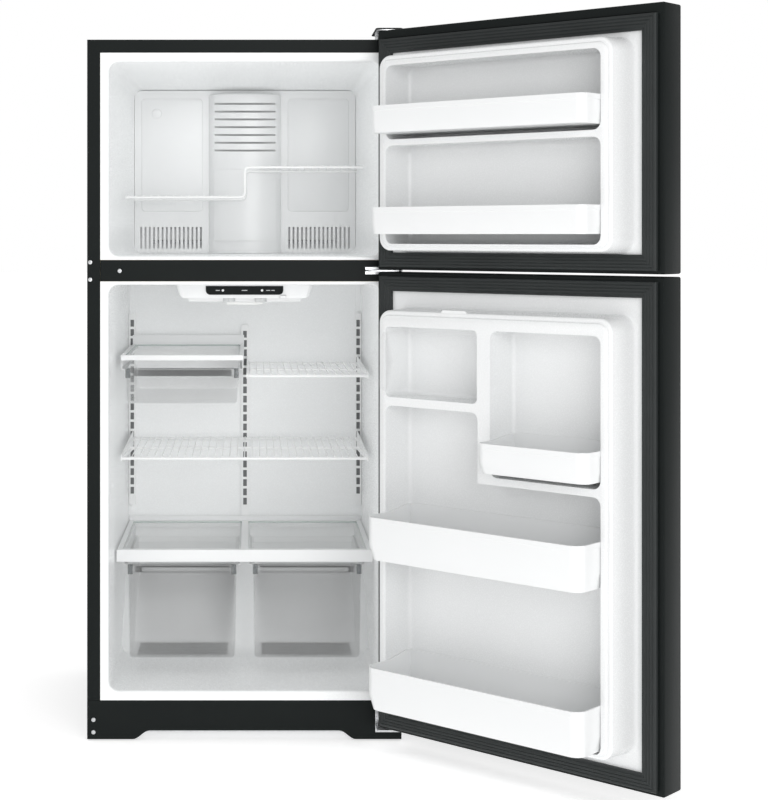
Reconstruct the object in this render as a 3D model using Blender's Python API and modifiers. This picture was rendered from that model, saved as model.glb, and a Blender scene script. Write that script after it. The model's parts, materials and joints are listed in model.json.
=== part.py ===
"""Top freezer refrigerator, standing with both of its doors open.

Units are metres and +Z is up. The cabinet is drawn with its front plane at Y = 0, its middle at
X = 0 and the floor at Z = 0. Doors and their fittings are drawn as if shut, and their parent
empties turn them open about the hinge line. At the end the whole object moves so that the origin
lies under the middle of its bounding box.
"""

from math import ceil, cos, hypot, pi, radians, sin

import bmesh
import bpy
from mathutils import Matrix, Vector

# ---------------------------------------------------------------------------------------------
# Driving dimensions
# ---------------------------------------------------------------------------------------------
GAP = 0.0003  # between pieces that touch
CASE_WIDTH = 0.749
CASE_DEPTH = 0.680
SHEET = 0.0008  # painted steel
FRONT_FRAME = 0.031  # black rim of the case, seen from the front
LINER_FLANGE = 0.020  # white rim inside it
CASE_FOOT = 0.010  # lower edge of the side sheets
REAR_FOAM = 0.060

BASE_TOP = 0.095
FOOD_SILL = 0.023
FOOD_HEIGHT = 0.967
MULLION_HEIGHT = 0.051
MULLION_LIP_BELOW = 0.008
MULLION_LIP_ABOVE = 0.010
FREEZER_HEIGHT = 0.464

LINER_WALL = 0.0015
FREEZER_TAPER = 0.029  # each side wall leans in by this much at the back
FREEZER_DROP = 0.027  # fall of the freezer's ceiling towards the back
FOOD_TAPER = 0.004
LINER_CORNER = 0.018
STEP_START = 0.360  # where the fresh-food floor starts to climb over the machine space
STEP_RISE = 0.243

HINGE_INSET = 0.0225  # hinge line, in from the side of the case
DOOR_ANGLE = 137.3  # both doors at rest, measured from shut
DOOR_THICKNESS = 0.071
DOOR_STANDOFF = 0.0148  # front plane to the door's inner rim
HINGE_COVER = 0.0388  # hinge line, in from the door's front
DOOR_RIM = 0.020  # width of the shell's turned-in edge
DOOR_EDGE = 0.004  # rounding of the shell's edges
DOOR_GAP = 0.0057  # between the two doors
PIN_RADIUS = 0.0040  # hinge pins
PIN_BORE = 0.0046
PIN_LENGTH = 0.0095  # of a pin inside a door
FOOD_DOOR_FOOT = 0.047
FOOD_DOOR_HEIGHT = FOOD_HEIGHT + 0.1027
FREEZER_DOOR_HEIGHT = FREEZER_HEIGHT + 0.097

GASKET_WIDTH = 0.034
GASKET_SIDE = 0.013  # side of the door to the gasket
GASKET_REST = 0.0012  # gasket face to the front plane, door shut
LINER_PLATE = 0.0015
DIKE_SIDE = 0.069  # side of the door to the foot of the raised liner
DIKE_HEIGHT = 0.078  # raised liner past the front plane
DIKE_CREST = 0.023
DIKE_LEAN = 0.003
DIKE_CLEARANCE = 0.0035  # raised liner to the floor or ceiling that it passes, door shut
DIKE_SHELL = 0.002
BIN_GAP = 0.0015
BIN_WALL = 0.0025
FOOD_BIN_REACH = 0.155
FREEZER_BIN_REACH = 0.140

SHELF_FRONT = 0.170
TRACK_DEPTH = 0.013
TRACK_WIDTH = 0.0165
TRACK_PITCH = 0.0254
WIRE_RADIUS = 0.0014
BAR_RADIUS = 0.0034
WIRE_PITCH = 0.019

DRAWER_WALL = 0.0025
HANDLE_REACH = 0.042
HANDLE_WIDTH = 0.022
HANDLE_INSET = 0.060
HANDLE_BAR = 0.012

# ---------------------------------------------------------------------------------------------
# Levels and planes worked out from them
# ---------------------------------------------------------------------------------------------
HALF = CASE_WIDTH / 2
OPEN_HALF = HALF - FRONT_FRAME - LINER_FLANGE
FRAME_HALF = HALF - FRONT_FRAME
LINER_DEPTH = CASE_DEPTH - REAR_FOAM

FOOD_FLOOR = BASE_TOP + FOOD_SILL
FOOD_CEILING = FOOD_FLOOR + FOOD_HEIGHT
MULLION_BOTTOM = FOOD_CEILING + MULLION_LIP_BELOW
MULLION_TOP = MULLION_BOTTOM + MULLION_HEIGHT
FREEZER_FLOOR = MULLION_TOP + MULLION_LIP_ABOVE
FREEZER_CEILING = FREEZER_FLOOR + FREEZER_HEIGHT
CASE_TOP = FREEZER_CEILING + LINER_FLANGE + FRONT_FRAME

FOOD_DOOR_TOP = FOOD_DOOR_FOOT + FOOD_DOOR_HEIGHT
FREEZER_DOOR_FOOT = FOOD_DOOR_TOP + DOOR_GAP
FREEZER_DOOR_TOP = FREEZER_DOOR_FOOT + FREEZER_DOOR_HEIGHT

HINGE_REACH = DOOR_STANDOFF + DOOR_THICKNESS - HINGE_COVER  # hinge line, out from the front plane
HINGE = Vector((HALF - HINGE_INSET, -HINGE_REACH, 0.0))
RIM_Y = -DOOR_STANDOFF
FACE_Y = RIM_Y - DOOR_THICKNESS
PLATE_Y = RIM_Y + GAP + LINER_PLATE
DIKE_HALF = HALF - DIKE_SIDE
CAVITY_HALF = DIKE_HALF - DIKE_LEAN - DIKE_CREST
BIN_HALF = CAVITY_HALF - BIN_GAP

TRACK_FRONT = LINER_DEPTH - TRACK_DEPTH - GAP
COVER_Y = LINER_DEPTH - 0.085  # face of the evaporator cover
WALL_HALF = OPEN_HALF - FOOD_TAPER
SHELF_HALF = WALL_HALF - 0.012
TRACK_TOP = FOOD_CEILING - 0.096

GLASS_SHELF_Z = FOOD_CEILING - 0.180
HALF_WIRE_Z = FOOD_CEILING - 0.232
FULL_WIRE_Z = FOOD_CEILING - 0.437
CRISPER_TOP = FOOD_FLOOR + 0.305
TRACK_FOOT = CRISPER_TOP + 0.042
MACHINE_TOP = BASE_TOP + 0.195

# ---------------------------------------------------------------------------------------------
# Scene, materials and shape helpers
# ---------------------------------------------------------------------------------------------
KIT = None
CUTTERS = None


def clear_scene():
    """Empty the file and make the two collections that the model uses."""
    global KIT, CUTTERS
    for obj in list(bpy.data.objects):
        bpy.data.objects.remove(obj)
    KIT = bpy.data.collections.new("top_freezer_refrigerator")
    CUTTERS = bpy.data.collections.new("cutters")
    CUTTERS.hide_render = True
    for collection in (KIT, CUTTERS):
        bpy.context.scene.collection.children.link(collection)


def paint(name, colour, roughness, metallic=0.0, alpha=1.0):
    """A Principled material with plain values."""
    made = bpy.data.materials.new(name)
    made.use_nodes = True
    shader = made.node_tree.nodes["Principled BSDF"]
    shader.inputs["Base Color"].default_value = (*colour, 1.0)
    shader.inputs["Roughness"].default_value = roughness
    shader.inputs["Metallic"].default_value = metallic
    shader.inputs["Alpha"].default_value = alpha
    made.diffuse_color = (*colour, alpha)
    return made


def pivot(name, at=(0, 0, 0), parent=None, turn=0.0):
    """An empty that carries pieces. Its home is its place with every door shut."""
    empty = bpy.data.objects.new(name, None)
    home = Vector(at)
    empty["home"] = home
    empty.parent = parent
    empty.location = home - Vector(parent["home"]) if parent else home
    empty.rotation_euler.z = turn
    empty.empty_display_size = 0.05
    KIT.objects.link(empty)
    return empty


def face_outward(shape):
    """Turn every face of a closed shape to look out."""
    bmesh.ops.recalc_face_normals(shape, faces=shape.faces)
    if shape.calc_volume(signed=True) < 0:
        bmesh.ops.reverse_faces(shape, faces=shape.faces)
    return shape


def block(low, high, edge=0.0, steps=2):
    """A box from one corner to the other, with its edges rounded if asked."""
    low, high = Vector(low), Vector(high)
    shape = bmesh.new()
    bmesh.ops.create_cube(shape, size=1.0)
    for vert in shape.verts:
        vert.co = Vector((low[i] + high[i]) / 2 + vert.co[i] * (high[i] - low[i]) for i in range(3))
    if edge:
        bmesh.ops.bevel(shape, geom=shape.edges, offset=edge, segments=steps, affect="EDGES", profile=0.5)
    return shape


def prism(loops, axis, start, stop):
    """Closed outlines filled and drawn out along an axis. Further outlines are holes.

    On X an outline holds (y, z), on Y it holds (x, z) and on Z it holds (x, y).
    """
    if not isinstance(loops[0][0], (tuple, list)):
        loops = [loops]
    curve = bpy.data.curves.new("outline", "CURVE")
    curve.dimensions = "2D"
    curve.fill_mode = "BOTH"
    curve.extrude = abs(stop - start) / 2
    for loop in loops:
        spline = curve.splines.new("POLY")
        spline.points.add(len(loop) - 1)
        spline.use_cyclic_u = True
        for point, (u, v) in zip(spline.points, loop):
            point.co = (u, v, 0.0, 1.0)
    holder = bpy.data.objects.new("outline", curve)
    bpy.context.scene.collection.objects.link(holder)
    mesh = bpy.data.meshes.new_from_object(holder.evaluated_get(bpy.context.evaluated_depsgraph_get()))
    bpy.data.objects.remove(holder)
    bpy.data.curves.remove(curve)
    shape = bmesh.new()
    shape.from_mesh(mesh)
    bpy.data.meshes.remove(mesh)
    bmesh.ops.remove_doubles(shape, verts=shape.verts, dist=1e-6)
    lift = (start + stop) / 2
    for vert in shape.verts:
        u, v, w = vert.co
        vert.co = {"X": (w + lift, u, v), "Y": (u, w + lift, v), "Z": (u, v, w + lift)}[axis]
    return face_outward(shape)


def rounded(low, high, radius, steps=3):
    """Outline of a rectangle with rounded corners. The radius may be one value or four."""
    radii = radius if isinstance(radius, tuple) else (radius,) * 4
    corners = [(high[0], high[1], 0), (low[0], high[1], 90), (low[0], low[1], 180), (high[0], low[1], 270)]
    outline = []
    for (u, v, turn), r in zip(corners, radii):
        if r <= 0:
            outline.append((u, v))
            continue
        cu = u - r if u == high[0] else u + r
        cv = v - r if v == high[1] else v + r
        for i in range(steps + 1):
            a = radians(turn + 90 * i / steps)
            outline.append((cu + r * cos(a), cv + r * sin(a)))
    return outline


def disc(axis, middle, radius, start, stop, sides=24, end_radius=None):
    """A cylinder or cone along an axis. The middle is the pair of coordinates across it."""
    shape = bmesh.new()
    far = radius if end_radius is None else end_radius
    bmesh.ops.create_cone(
        shape, cap_ends=True, segments=sides, radius1=radius, radius2=far, depth=stop - start
    )
    half_step = Matrix.Rotation(pi / sides, 3, "Z")
    lift = (start + stop) / 2
    for vert in shape.verts:
        u, v, w = half_step @ vert.co
        u, v, w = u + middle[0], v + middle[1], w + lift
        vert.co = {"X": (w, u, v), "Y": (u, w, v), "Z": (u, v, w)}[axis]
    return face_outward(shape)


def bend(points, radius, steps=3):
    """Round the corners of a route of straight runs."""
    points = [Vector(p) for p in points]
    route = [points[0]]
    for before, corner, after in zip(points, points[1:], points[2:]):
        into, out = (corner - before).normalized(), (after - corner).normalized()
        half = into.angle(out) / 2
        cut_back = radius * sin(half) / cos(half)
        start, stop = corner - into * cut_back, corner + out * cut_back
        for i in range(steps + 1):
            t = i / steps
            near = start.lerp(corner, t)
            route.append(near.lerp(corner.lerp(stop, t), t))
    route.append(points[-1])
    return route


def tube(points, radius, resolution=2):
    """A round rod along a route, with closed ends."""
    curve = bpy.data.curves.new("route", "CURVE")
    curve.dimensions = "3D"
    curve.bevel_depth = radius
    curve.bevel_resolution = resolution
    curve.use_fill_caps = True
    spline = curve.splines.new("POLY")
    spline.points.add(len(points) - 1)
    for point, place in zip(spline.points, points):
        point.co = (*place, 1.0)
    holder = bpy.data.objects.new("route", curve)
    bpy.context.scene.collection.objects.link(holder)
    mesh = bpy.data.meshes.new_from_object(holder.evaluated_get(bpy.context.evaluated_depsgraph_get()))
    bpy.data.objects.remove(holder)
    bpy.data.curves.remove(curve)
    shape = bmesh.new()
    shape.from_mesh(mesh)
    bpy.data.meshes.remove(mesh)
    bmesh.ops.remove_doubles(shape, verts=shape.verts, dist=1e-6)
    return face_outward(shape)


def group(shapes):
    """Several shapes that stand clear of each other, as one."""
    merged = bmesh.new()
    for shape in shapes:
        mesh = bpy.data.meshes.new("part")
        shape.to_mesh(mesh)
        shape.free()
        merged.from_mesh(mesh)
        bpy.data.meshes.remove(mesh)
    return merged


def reshape(shape, rule):
    """Move every point of a shape by a rule."""
    for vert in shape.verts:
        vert.co = rule(vert.co)
    return shape


def place(name, shape, material, carrier, at=None):
    """Turn a shape into an object on its carrier, with its own origin at its middle or at a pivot."""
    spots = [vert.co for vert in shape.verts]
    middle = Vector((min(s[i] for s in spots) + max(s[i] for s in spots)) / 2 for i in range(3))
    home = Vector(at) if at else middle
    bmesh.ops.translate(shape, verts=shape.verts, vec=-home)
    mesh = bpy.data.meshes.new(name)
    shape.to_mesh(mesh)
    shape.free()
    obj = bpy.data.objects.new(name, mesh)
    obj.parent = carrier
    obj.location = home - Vector(carrier["home"])
    if material:
        mesh.materials.append(material)
        KIT.objects.link(obj)
    else:
        obj.hide_render = True
        obj.display_type = "WIRE"
        CUTTERS.objects.link(obj)
    return obj


def boolean(obj, shape, operation, label):
    """Cut a shape out of an object, or add it on, with an exact Boolean."""
    other = shape
    if not isinstance(shape, bpy.types.Object):
        other = place(f"{obj.name}_{label}", shape, None, obj.parent)
    modifier = obj.modifiers.new(label, "BOOLEAN")
    modifier.operation = operation
    modifier.solver = "EXACT"
    modifier.object = other
    return other


def cut(obj, shape, label):
    return boolean(obj, shape, "DIFFERENCE", label)


def add(obj, shape, label):
    return boolean(obj, shape, "UNION", label)


# ---------------------------------------------------------------------------------------------
# Cabinet
# ---------------------------------------------------------------------------------------------
def leaning(taper, drop, middle_z, half_height):
    """Rule that draws side walls, and the ceiling, in towards the back of a liner."""

    def rule(co):
        back = co.y / LINER_DEPTH
        sink = drop * back if co.z > middle_z else 0.0
        share = (co.z - middle_z) / half_height if half_height else 0.0
        return Vector((co.x - taper * back * co.x / OPEN_HALF, co.y, co.z - sink * share))

    return rule


def freezer_core(front, grow):
    """Space of the freezer, grown by a wall, from a plane in front to the back wall."""
    middle = (FREEZER_FLOOR + FREEZER_CEILING) / 2
    outline = rounded(
        (-OPEN_HALF - grow, FREEZER_FLOOR - grow),
        (OPEN_HALF + grow, FREEZER_CEILING + grow),
        LINER_CORNER + grow,
    )
    core = prism(outline, "Y", front, LINER_DEPTH + grow)
    return reshape(core, leaning(FREEZER_TAPER, FREEZER_DROP, middle, FREEZER_HEIGHT / 2))


def food_core(name, front, grow, carrier):
    """Space of the fresh-food compartment, less the slope over the machine space, as a cutter."""
    outline = rounded(
        (-OPEN_HALF - grow, FOOD_FLOOR - grow),
        (OPEN_HALF + grow, FOOD_CEILING + grow),
        LINER_CORNER + grow,
    )
    core = prism(outline, "Y", front, LINER_DEPTH + grow)
    reshape(core, leaning(FOOD_TAPER, 0.0, FOOD_FLOOR, 0.0))
    return place(name, core, None, carrier)


def step_wedge(grow):
    """The solid that the slope takes out of the fresh-food space."""
    run = LINER_DEPTH - STEP_START
    shift = grow * hypot(run, STEP_RISE) / STEP_RISE
    slope = STEP_RISE / run
    start, far = STEP_START + shift, CASE_DEPTH + 0.05
    low = FOOD_FLOOR - 0.05
    outline = [(start - 0.05 / slope, low), (far, low), (far, FOOD_FLOOR + slope * (far - start))]
    return prism(outline, "X", -HALF, HALF)


def build_case(root, steel, foam, black):
    case = place("outer_case", block((-HALF, 0, CASE_FOOT), (HALF, CASE_DEPTH, CASE_TOP)), steel, root)
    inner = HALF - SHEET
    cut(case, block((-inner, SHEET, -0.1), (inner, CASE_DEPTH + 0.1, CASE_TOP - SHEET)), "inside")
    cut(case, block((-FRAME_HALF, -0.1, -0.1), (FRAME_HALF, 0.1, CASE_TOP - FRONT_FRAME)), "front_opening")
    cut(case, block((-HALF - 0.1, -0.1, -0.1), (HALF + 0.1, 0.0203, BASE_TOP + GAP)), "base_notch")

    skin_back = CASE_DEPTH - SHEET
    side = inner - GAP
    back = block((-side, skin_back, MACHINE_TOP + 0.041), (side, CASE_DEPTH, CASE_TOP - SHEET - GAP))
    place("back_panel", back, steel, root)
    cover = place(
        "machine_cover",
        block((-side, skin_back, 0.031), (side, CASE_DEPTH, MACHINE_TOP + 0.041 - GAP)),
        black,
        root,
    )
    slots = []
    for row in range(4):
        for column in range(-4, 5):
            x, z = column * side / 5, 0.085 + row * 0.05
            slots.append(block((x - 0.025, skin_back - 0.01, z), (x + 0.025, CASE_DEPTH + 0.01, z + 0.012)))
    cut(cover, group(slots), "air_slots")

    foam_low = (-side, SHEET + 2 * GAP, BASE_TOP + GAP)
    foam_high = (side, skin_back - GAP, CASE_TOP - SHEET - GAP)
    body = place("cabinet_foam", block(foam_low, foam_high), foam, root)
    wall = LINER_WALL + GAP
    cut(body, freezer_core(-0.05, wall), "freezer_space")
    space = food_core("cabinet_foam_food_space", -0.05, wall, root)
    cut(space, step_wedge(wall), "slope")
    cut(body, space, "food_space")
    cut(body, machine_space(), "machine_space")
    front = group(
        [
            block((-FRAME_HALF, -0.1, MULLION_TOP - 0.005), (FRAME_HALF, SHEET + 4 * GAP, CASE_TOP)),
            block((-FRAME_HALF, -0.1, 0.0), (FRAME_HALF, SHEET + 4 * GAP, MULLION_BOTTOM + 0.005)),
        ]
    )
    cut(body, front, "flange_seat")


def machine_space():
    """Room for the compressor under the slope at the back."""
    front, top = STEP_START + 0.040, MACHINE_TOP
    outline = [
        (front, -0.05),
        (CASE_DEPTH + 0.05, -0.05),
        (CASE_DEPTH + 0.05, top),
        (CASE_DEPTH - 0.060, top),
        (front, BASE_TOP - 0.010),
    ]
    return prism(outline, "X", -HALF, HALF)


def build_liners(root, white):
    side = FRAME_HALF - GAP
    thick = LINER_WALL
    freezer_plate = block((-side, 0, MULLION_TOP + GAP), (side, thick, CASE_TOP - FRONT_FRAME - GAP))
    freezer = place("freezer_liner", freezer_plate, white, root)
    add(freezer, freezer_core(0.0002, thick), "tub")
    cut(freezer, freezer_core(-0.05, 0.0), "space")

    food_plate = block((-side, 0, BASE_TOP + GAP), (side, thick, MULLION_BOTTOM - GAP))
    food = place("fresh_food_liner", food_plate, white, root)
    tub = food_core("fresh_food_liner_tub", 0.0002, thick, root)
    cut(tub, step_wedge(thick), "slope")
    add(food, tub, "tub")
    space = food_core("fresh_food_liner_space", -0.05, 0.0, root)
    cut(space, step_wedge(0.0), "slope")
    cut(food, space, "space")


def build_front_trim(root, black):
    side = FRAME_HALF - GAP
    bar = block((-side, 0, MULLION_BOTTOM + GAP), (side, SHEET, MULLION_TOP - GAP))
    place("mullion_cover", bar, black, root)

    half, foot, rise = HALF, 0.0025, 0.0205
    notch_out, notch_in = half - 0.109, half - 0.149
    sweep = []
    for i in range(9):
        t = i / 8
        sweep.append((notch_out + (notch_in - notch_out) * t, foot + rise * (1 - cos(pi * t)) / 2))
    outline = [(half, foot), (half, BASE_TOP), (-half, BASE_TOP), (-half, foot)]
    outline += [(-x, z) for x, z in sweep] + sweep[::-1]
    grille = place("base_grille", prism(outline, "Y", 0.0, 0.020), black, root)
    hollow = [(half - 0.003, foot + 0.003), (half - 0.003, BASE_TOP - 0.003)]
    hollow += [(-x, z) for x, z in hollow[::-1]]
    hollow += [(-x - 0.003, z + 0.003) for x, z in sweep] + [(x + 0.003, z + 0.003) for x, z in sweep[::-1]]
    cut(grille, prism(hollow, "Y", 0.003, 0.05), "hollow_back")
    seat = block((HINGE.x - 0.0415, -0.01, 0.018), (HINGE.x + 0.0210, 0.0029, 0.0735))
    cut(grille, seat, "hinge_seat")


def build_base(root, steel, black):
    side = HALF - SHEET - 2 * GAP
    front, back, floor = 0.0203 + GAP, CASE_DEPTH - 0.008, 0.026
    wall, top = 0.002, BASE_TOP - GAP
    split = STEP_START + 0.035
    frame = place("base_frame", block((-side, front, 0.014), (side, back, top)), steel, root)
    inner = side - wall
    cut(frame, block((-inner, front + wall, -0.01), (inner, split - wall, top - wall)), "front_hollow")
    cut(frame, block((-inner, split, floor + wall), (inner, back + 0.05, top + 0.05)), "machine_well")
    cut(frame, block((-inner, split, -0.01), (inner, back + 0.05, floor)), "underside")
    leg_x, leg_y = HALF - 0.045, 0.060
    pads = [
        block((s * leg_x - 0.028, front + 0.001, 0.044), (s * leg_x + 0.028, 0.090, 0.048)) for s in (-1, 1)
    ]
    add(frame, group(pads), "leg_pads")
    ties = [
        block((s * leg_x - 0.028, front + 0.0005, 0.044), (s * leg_x - 0.026, 0.090, top - 0.001))
        for s in (-1, 1)
    ]
    add(frame, group(ties), "leg_webs")
    holes = [disc("Z", (s * leg_x, leg_y), 0.0065, 0.03, 0.07, 16) for s in (-1, 1)]
    cut(frame, group(holes), "leg_holes")

    roller_y, roller_r, roller_x = back - 0.072, 0.020, HALF - 0.0225
    windows = [
        block((s * roller_x - 0.012, roller_y - 0.026, 0.0), (s * roller_x + 0.012, roller_y + 0.026, 0.05))
        for s in (-1, 1)
    ]
    cut(frame, group(windows), "roller_windows")
    ears = [
        block((s * roller_x - 0.016 * s - 0.001, roller_y - 0.012, 0.010),
              (s * roller_x - 0.016 * s + 0.001, roller_y + 0.012, floor + 0.001))
        for s in (-1, 1)
    ]
    add(frame, group(ears), "roller_ears")
    cut(frame, disc("X", (roller_y, roller_r), 0.0034, -HALF, HALF, 16), "axle_holes")

    for word, s in (("left", -1), ("right", 1)):
        foot = disc("Z", (s * leg_x, leg_y), 0.017, 0.0, 0.009, 20)
        leg = place(f"leveling_leg_{word}", foot, steel, root)
        add(leg, disc("Z", (s * leg_x, leg_y), 0.006, 0.008, 0.060, 16), "stud")
        axle = pivot(f"roller_axis_{word}", (s * roller_x, roller_y, roller_r), root)
        wheel = disc("X", (roller_y, roller_r), roller_r / cos(pi / 32), s * roller_x - 0.008,
                     s * roller_x + 0.008, 32)
        roller = place(f"rear_roller_{word}", wheel, black, axle, (s * roller_x, roller_y, roller_r))
        pin = disc("X", (roller_y, roller_r), 0.003, s * roller_x - 0.018, s * roller_x + 0.018, 16)
        add(roller, pin, "axle")


def build_machine(root, black, steel, copper):
    """Compressor, condenser, its fan and the drain pan, behind the lower back cover."""
    floor = 0.028 + GAP
    middle = (HALF - 0.165, CASE_DEPTH - 0.078)
    can = place("compressor", disc("Z", middle, 0.064, 0.045, 0.165, 28), black, root)
    add(can, disc("Z", middle, 0.064, 0.1645, 0.195, 28, 0.038), "dome")
    add(can, disc("Z", middle, 0.045, 0.034, 0.0455, 28, 0.064), "belly")
    base = rounded((middle[0] - 0.085, middle[1] - 0.052), (middle[0] + 0.085, middle[1] + 0.052), 0.012)
    add(can, prism(base, "Z", floor, floor + 0.008), "feet")

    left, right = -HALF + 0.075, -0.085
    near, far = STEP_START + 0.085, CASE_DEPTH - 0.025
    points = []
    for level in range(3):
        z = 0.062 + level * 0.024
        rows = (near, far) if level % 2 == 0 else (far, near)
        points += [(left, rows[0], z), (right, rows[0], z), (right, rows[1], z), (left, rows[1], z)]
    route = bend([Vector(p) for p in points], 0.010, 2)
    place("condenser_coil", tube(route, 0.0035, 1), copper, root)

    pan = place("drain_pan", block((left - 0.012, near - 0.012, floor), (right + 0.012, far + 0.008, 0.050)),
                black, root)
    cut(pan, block((left - 0.010, near - 0.010, floor + 0.002), (right + 0.010, far + 0.006, 0.08)), "well")

    hub = (CASE_DEPTH - 0.100, 0.105)
    spin_x = -0.045
    axis = pivot("condenser_fan_axis", (spin_x, *hub), root)
    build_fan("condenser_fan", "X", hub, spin_x, 0.060, axis, (spin_x, *hub), black)
    can = disc("X", hub, 0.024, spin_x + 0.012, spin_x + 0.048, 20)
    motor = place("condenser_fan_motor", can, steel, root)
    foot = block((spin_x + 0.020, hub[0] - 0.010, floor), (spin_x + 0.040, hub[0] + 0.010, 0.090))
    add(motor, foot, "foot")


def build_fan(name, axis, hub, at, radius, carrier, home, material):
    """A hub with five twisted blades."""
    fan = place(name, disc(axis, hub, 0.016, at - 0.010, at + 0.010, 20), material, carrier, home)
    blades = []
    for i in range(5):
        blade = block((0.012, -0.016, -0.0012), (radius, 0.016, 0.0012))
        pitch = Matrix.Rotation(radians(26), 3, "X")
        turn = Matrix.Rotation(radians(72 * i), 3, "Z")
        rows = {"X": ((0, 0, 1), (1, 0, 0), (0, 1, 0)), "Y": ((1, 0, 0), (0, 0, 1), (0, 1, 0))}[axis]
        stand = Matrix(rows)
        blades.append(reshape(blade, lambda co, m=stand @ turn @ pitch: m @ co + Vector(home)))
    add(fan, group([face_outward(blade) for blade in blades]), "blades")
    return fan


# ---------------------------------------------------------------------------------------------
# Inside the freezer
# ---------------------------------------------------------------------------------------------
def build_freezer_inside(root, white, wire, silver, black):
    lean = OPEN_HALF - FREEZER_TAPER * COVER_Y / LINER_DEPTH - 0.0012
    top = FREEZER_CEILING - FREEZER_DROP * COVER_Y / LINER_DEPTH - 0.0022
    foot, face = FREEZER_FLOOR + 0.001, COVER_Y
    thick, tower_half, bulge = 0.003, 0.097, 0.045
    outline = rounded((-lean, foot), (lean, top), LINER_CORNER)
    cover = place("evaporator_cover", prism(outline, "Y", face, face + thick), white, root)
    tower_top = top - 0.010

    def plan(half, depth, back):
        arc = [(half * cos(pi * i / 12), face - depth * sin(pi * i / 12)) for i in range(13)]
        return [(half, back)] + arc + [(-half, back)]

    add(cover, prism(plan(tower_half, bulge, face + 0.001), "Z", foot, tower_top), "tower")
    hollow = plan(tower_half - thick, bulge - thick, face + 0.02)
    cut(cover, prism(hollow, "Z", foot - 0.02, tower_top - thick), "duct")
    louvres = []
    for i in range(7):
        z = tower_top - 0.028 - i * 0.0208
        louvres.append(block((-0.070, face - bulge - 0.02, z - 0.006), (0.070, face - 0.0005, z)))
    cut(cover, group(louvres), "louvres")
    vents = []
    for s in (-1, 1):
        for i in range(15):
            x = s * (0.119 + i * 0.0115)
            vent = block((x - 0.0025, face - 0.01, foot + 0.012), (x + 0.0025, face + 0.02, foot + 0.070))
            vents.append(vent)
    cut(cover, group(vents), "vents")

    coil_half, low, high = lean - 0.045, foot + 0.030, foot + 0.235
    points = []
    for i in range(6):
        z = low + (high - low) * i / 5
        ends = (-coil_half, coil_half) if i % 2 == 0 else (coil_half, -coil_half)
        points += [(ends[0], face + 0.045, z), (ends[1], face + 0.045, z)]
    place("evaporator_coil", tube(bend(points, 0.015, 3), 0.006, 1), silver, root)

    hub = (0.0, tower_top - 0.090)
    spin_y = face + 0.026
    axis = pivot("evaporator_fan_axis", (hub[0], spin_y, hub[1]), root)
    build_fan("evaporator_fan", "Y", hub, spin_y, 0.052, axis, (hub[0], spin_y, hub[1]), black)
    motor = disc("Y", hub, 0.023, spin_y + 0.012, spin_y + 0.046, 20)
    motor = place("evaporator_fan_motor", motor, silver, root)
    bracket = block((-0.045, spin_y + 0.040, hub[1] - 0.006), (0.045, spin_y + 0.043, hub[1] + 0.006))
    add(motor, bracket, "bracket")

    build_freezer_shelf(root, wire)


def build_freezer_shelf(root, wire):
    """Wire shelf that steps up half way across."""
    front, rear = 0.200, COVER_Y - 0.055
    half = OPEN_HALF - FREEZER_TAPER * rear / LINER_DEPTH - 0.004
    low, high, step, r = FREEZER_FLOOR + 0.144, FREEZER_FLOOR + 0.219, 0.001, BAR_RADIUS
    rods = []
    for y in (front, rear):
        route = [(-half, y, low), (step, y, low), (step, y, high), (half, y, high)]
        rods.append(tube(bend(route, 0.012, 3), r, 2))
    shelf = place("freezer_shelf", group(rods), wire, root)
    wires = []
    count = int((half - 0.02) / WIRE_PITCH)
    over = BAR_RADIUS + WIRE_RADIUS - 0.0009
    for i in range(count):
        for x, z in ((-half + 0.006 + i * WIRE_PITCH, low), (half - 0.006 - i * WIRE_PITCH, high)):
            wires.append(disc("Y", (x, z + over), WIRE_RADIUS, front - 0.004, rear + 0.004, 6))
    add(shelf, group(wires), "wires")


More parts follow.
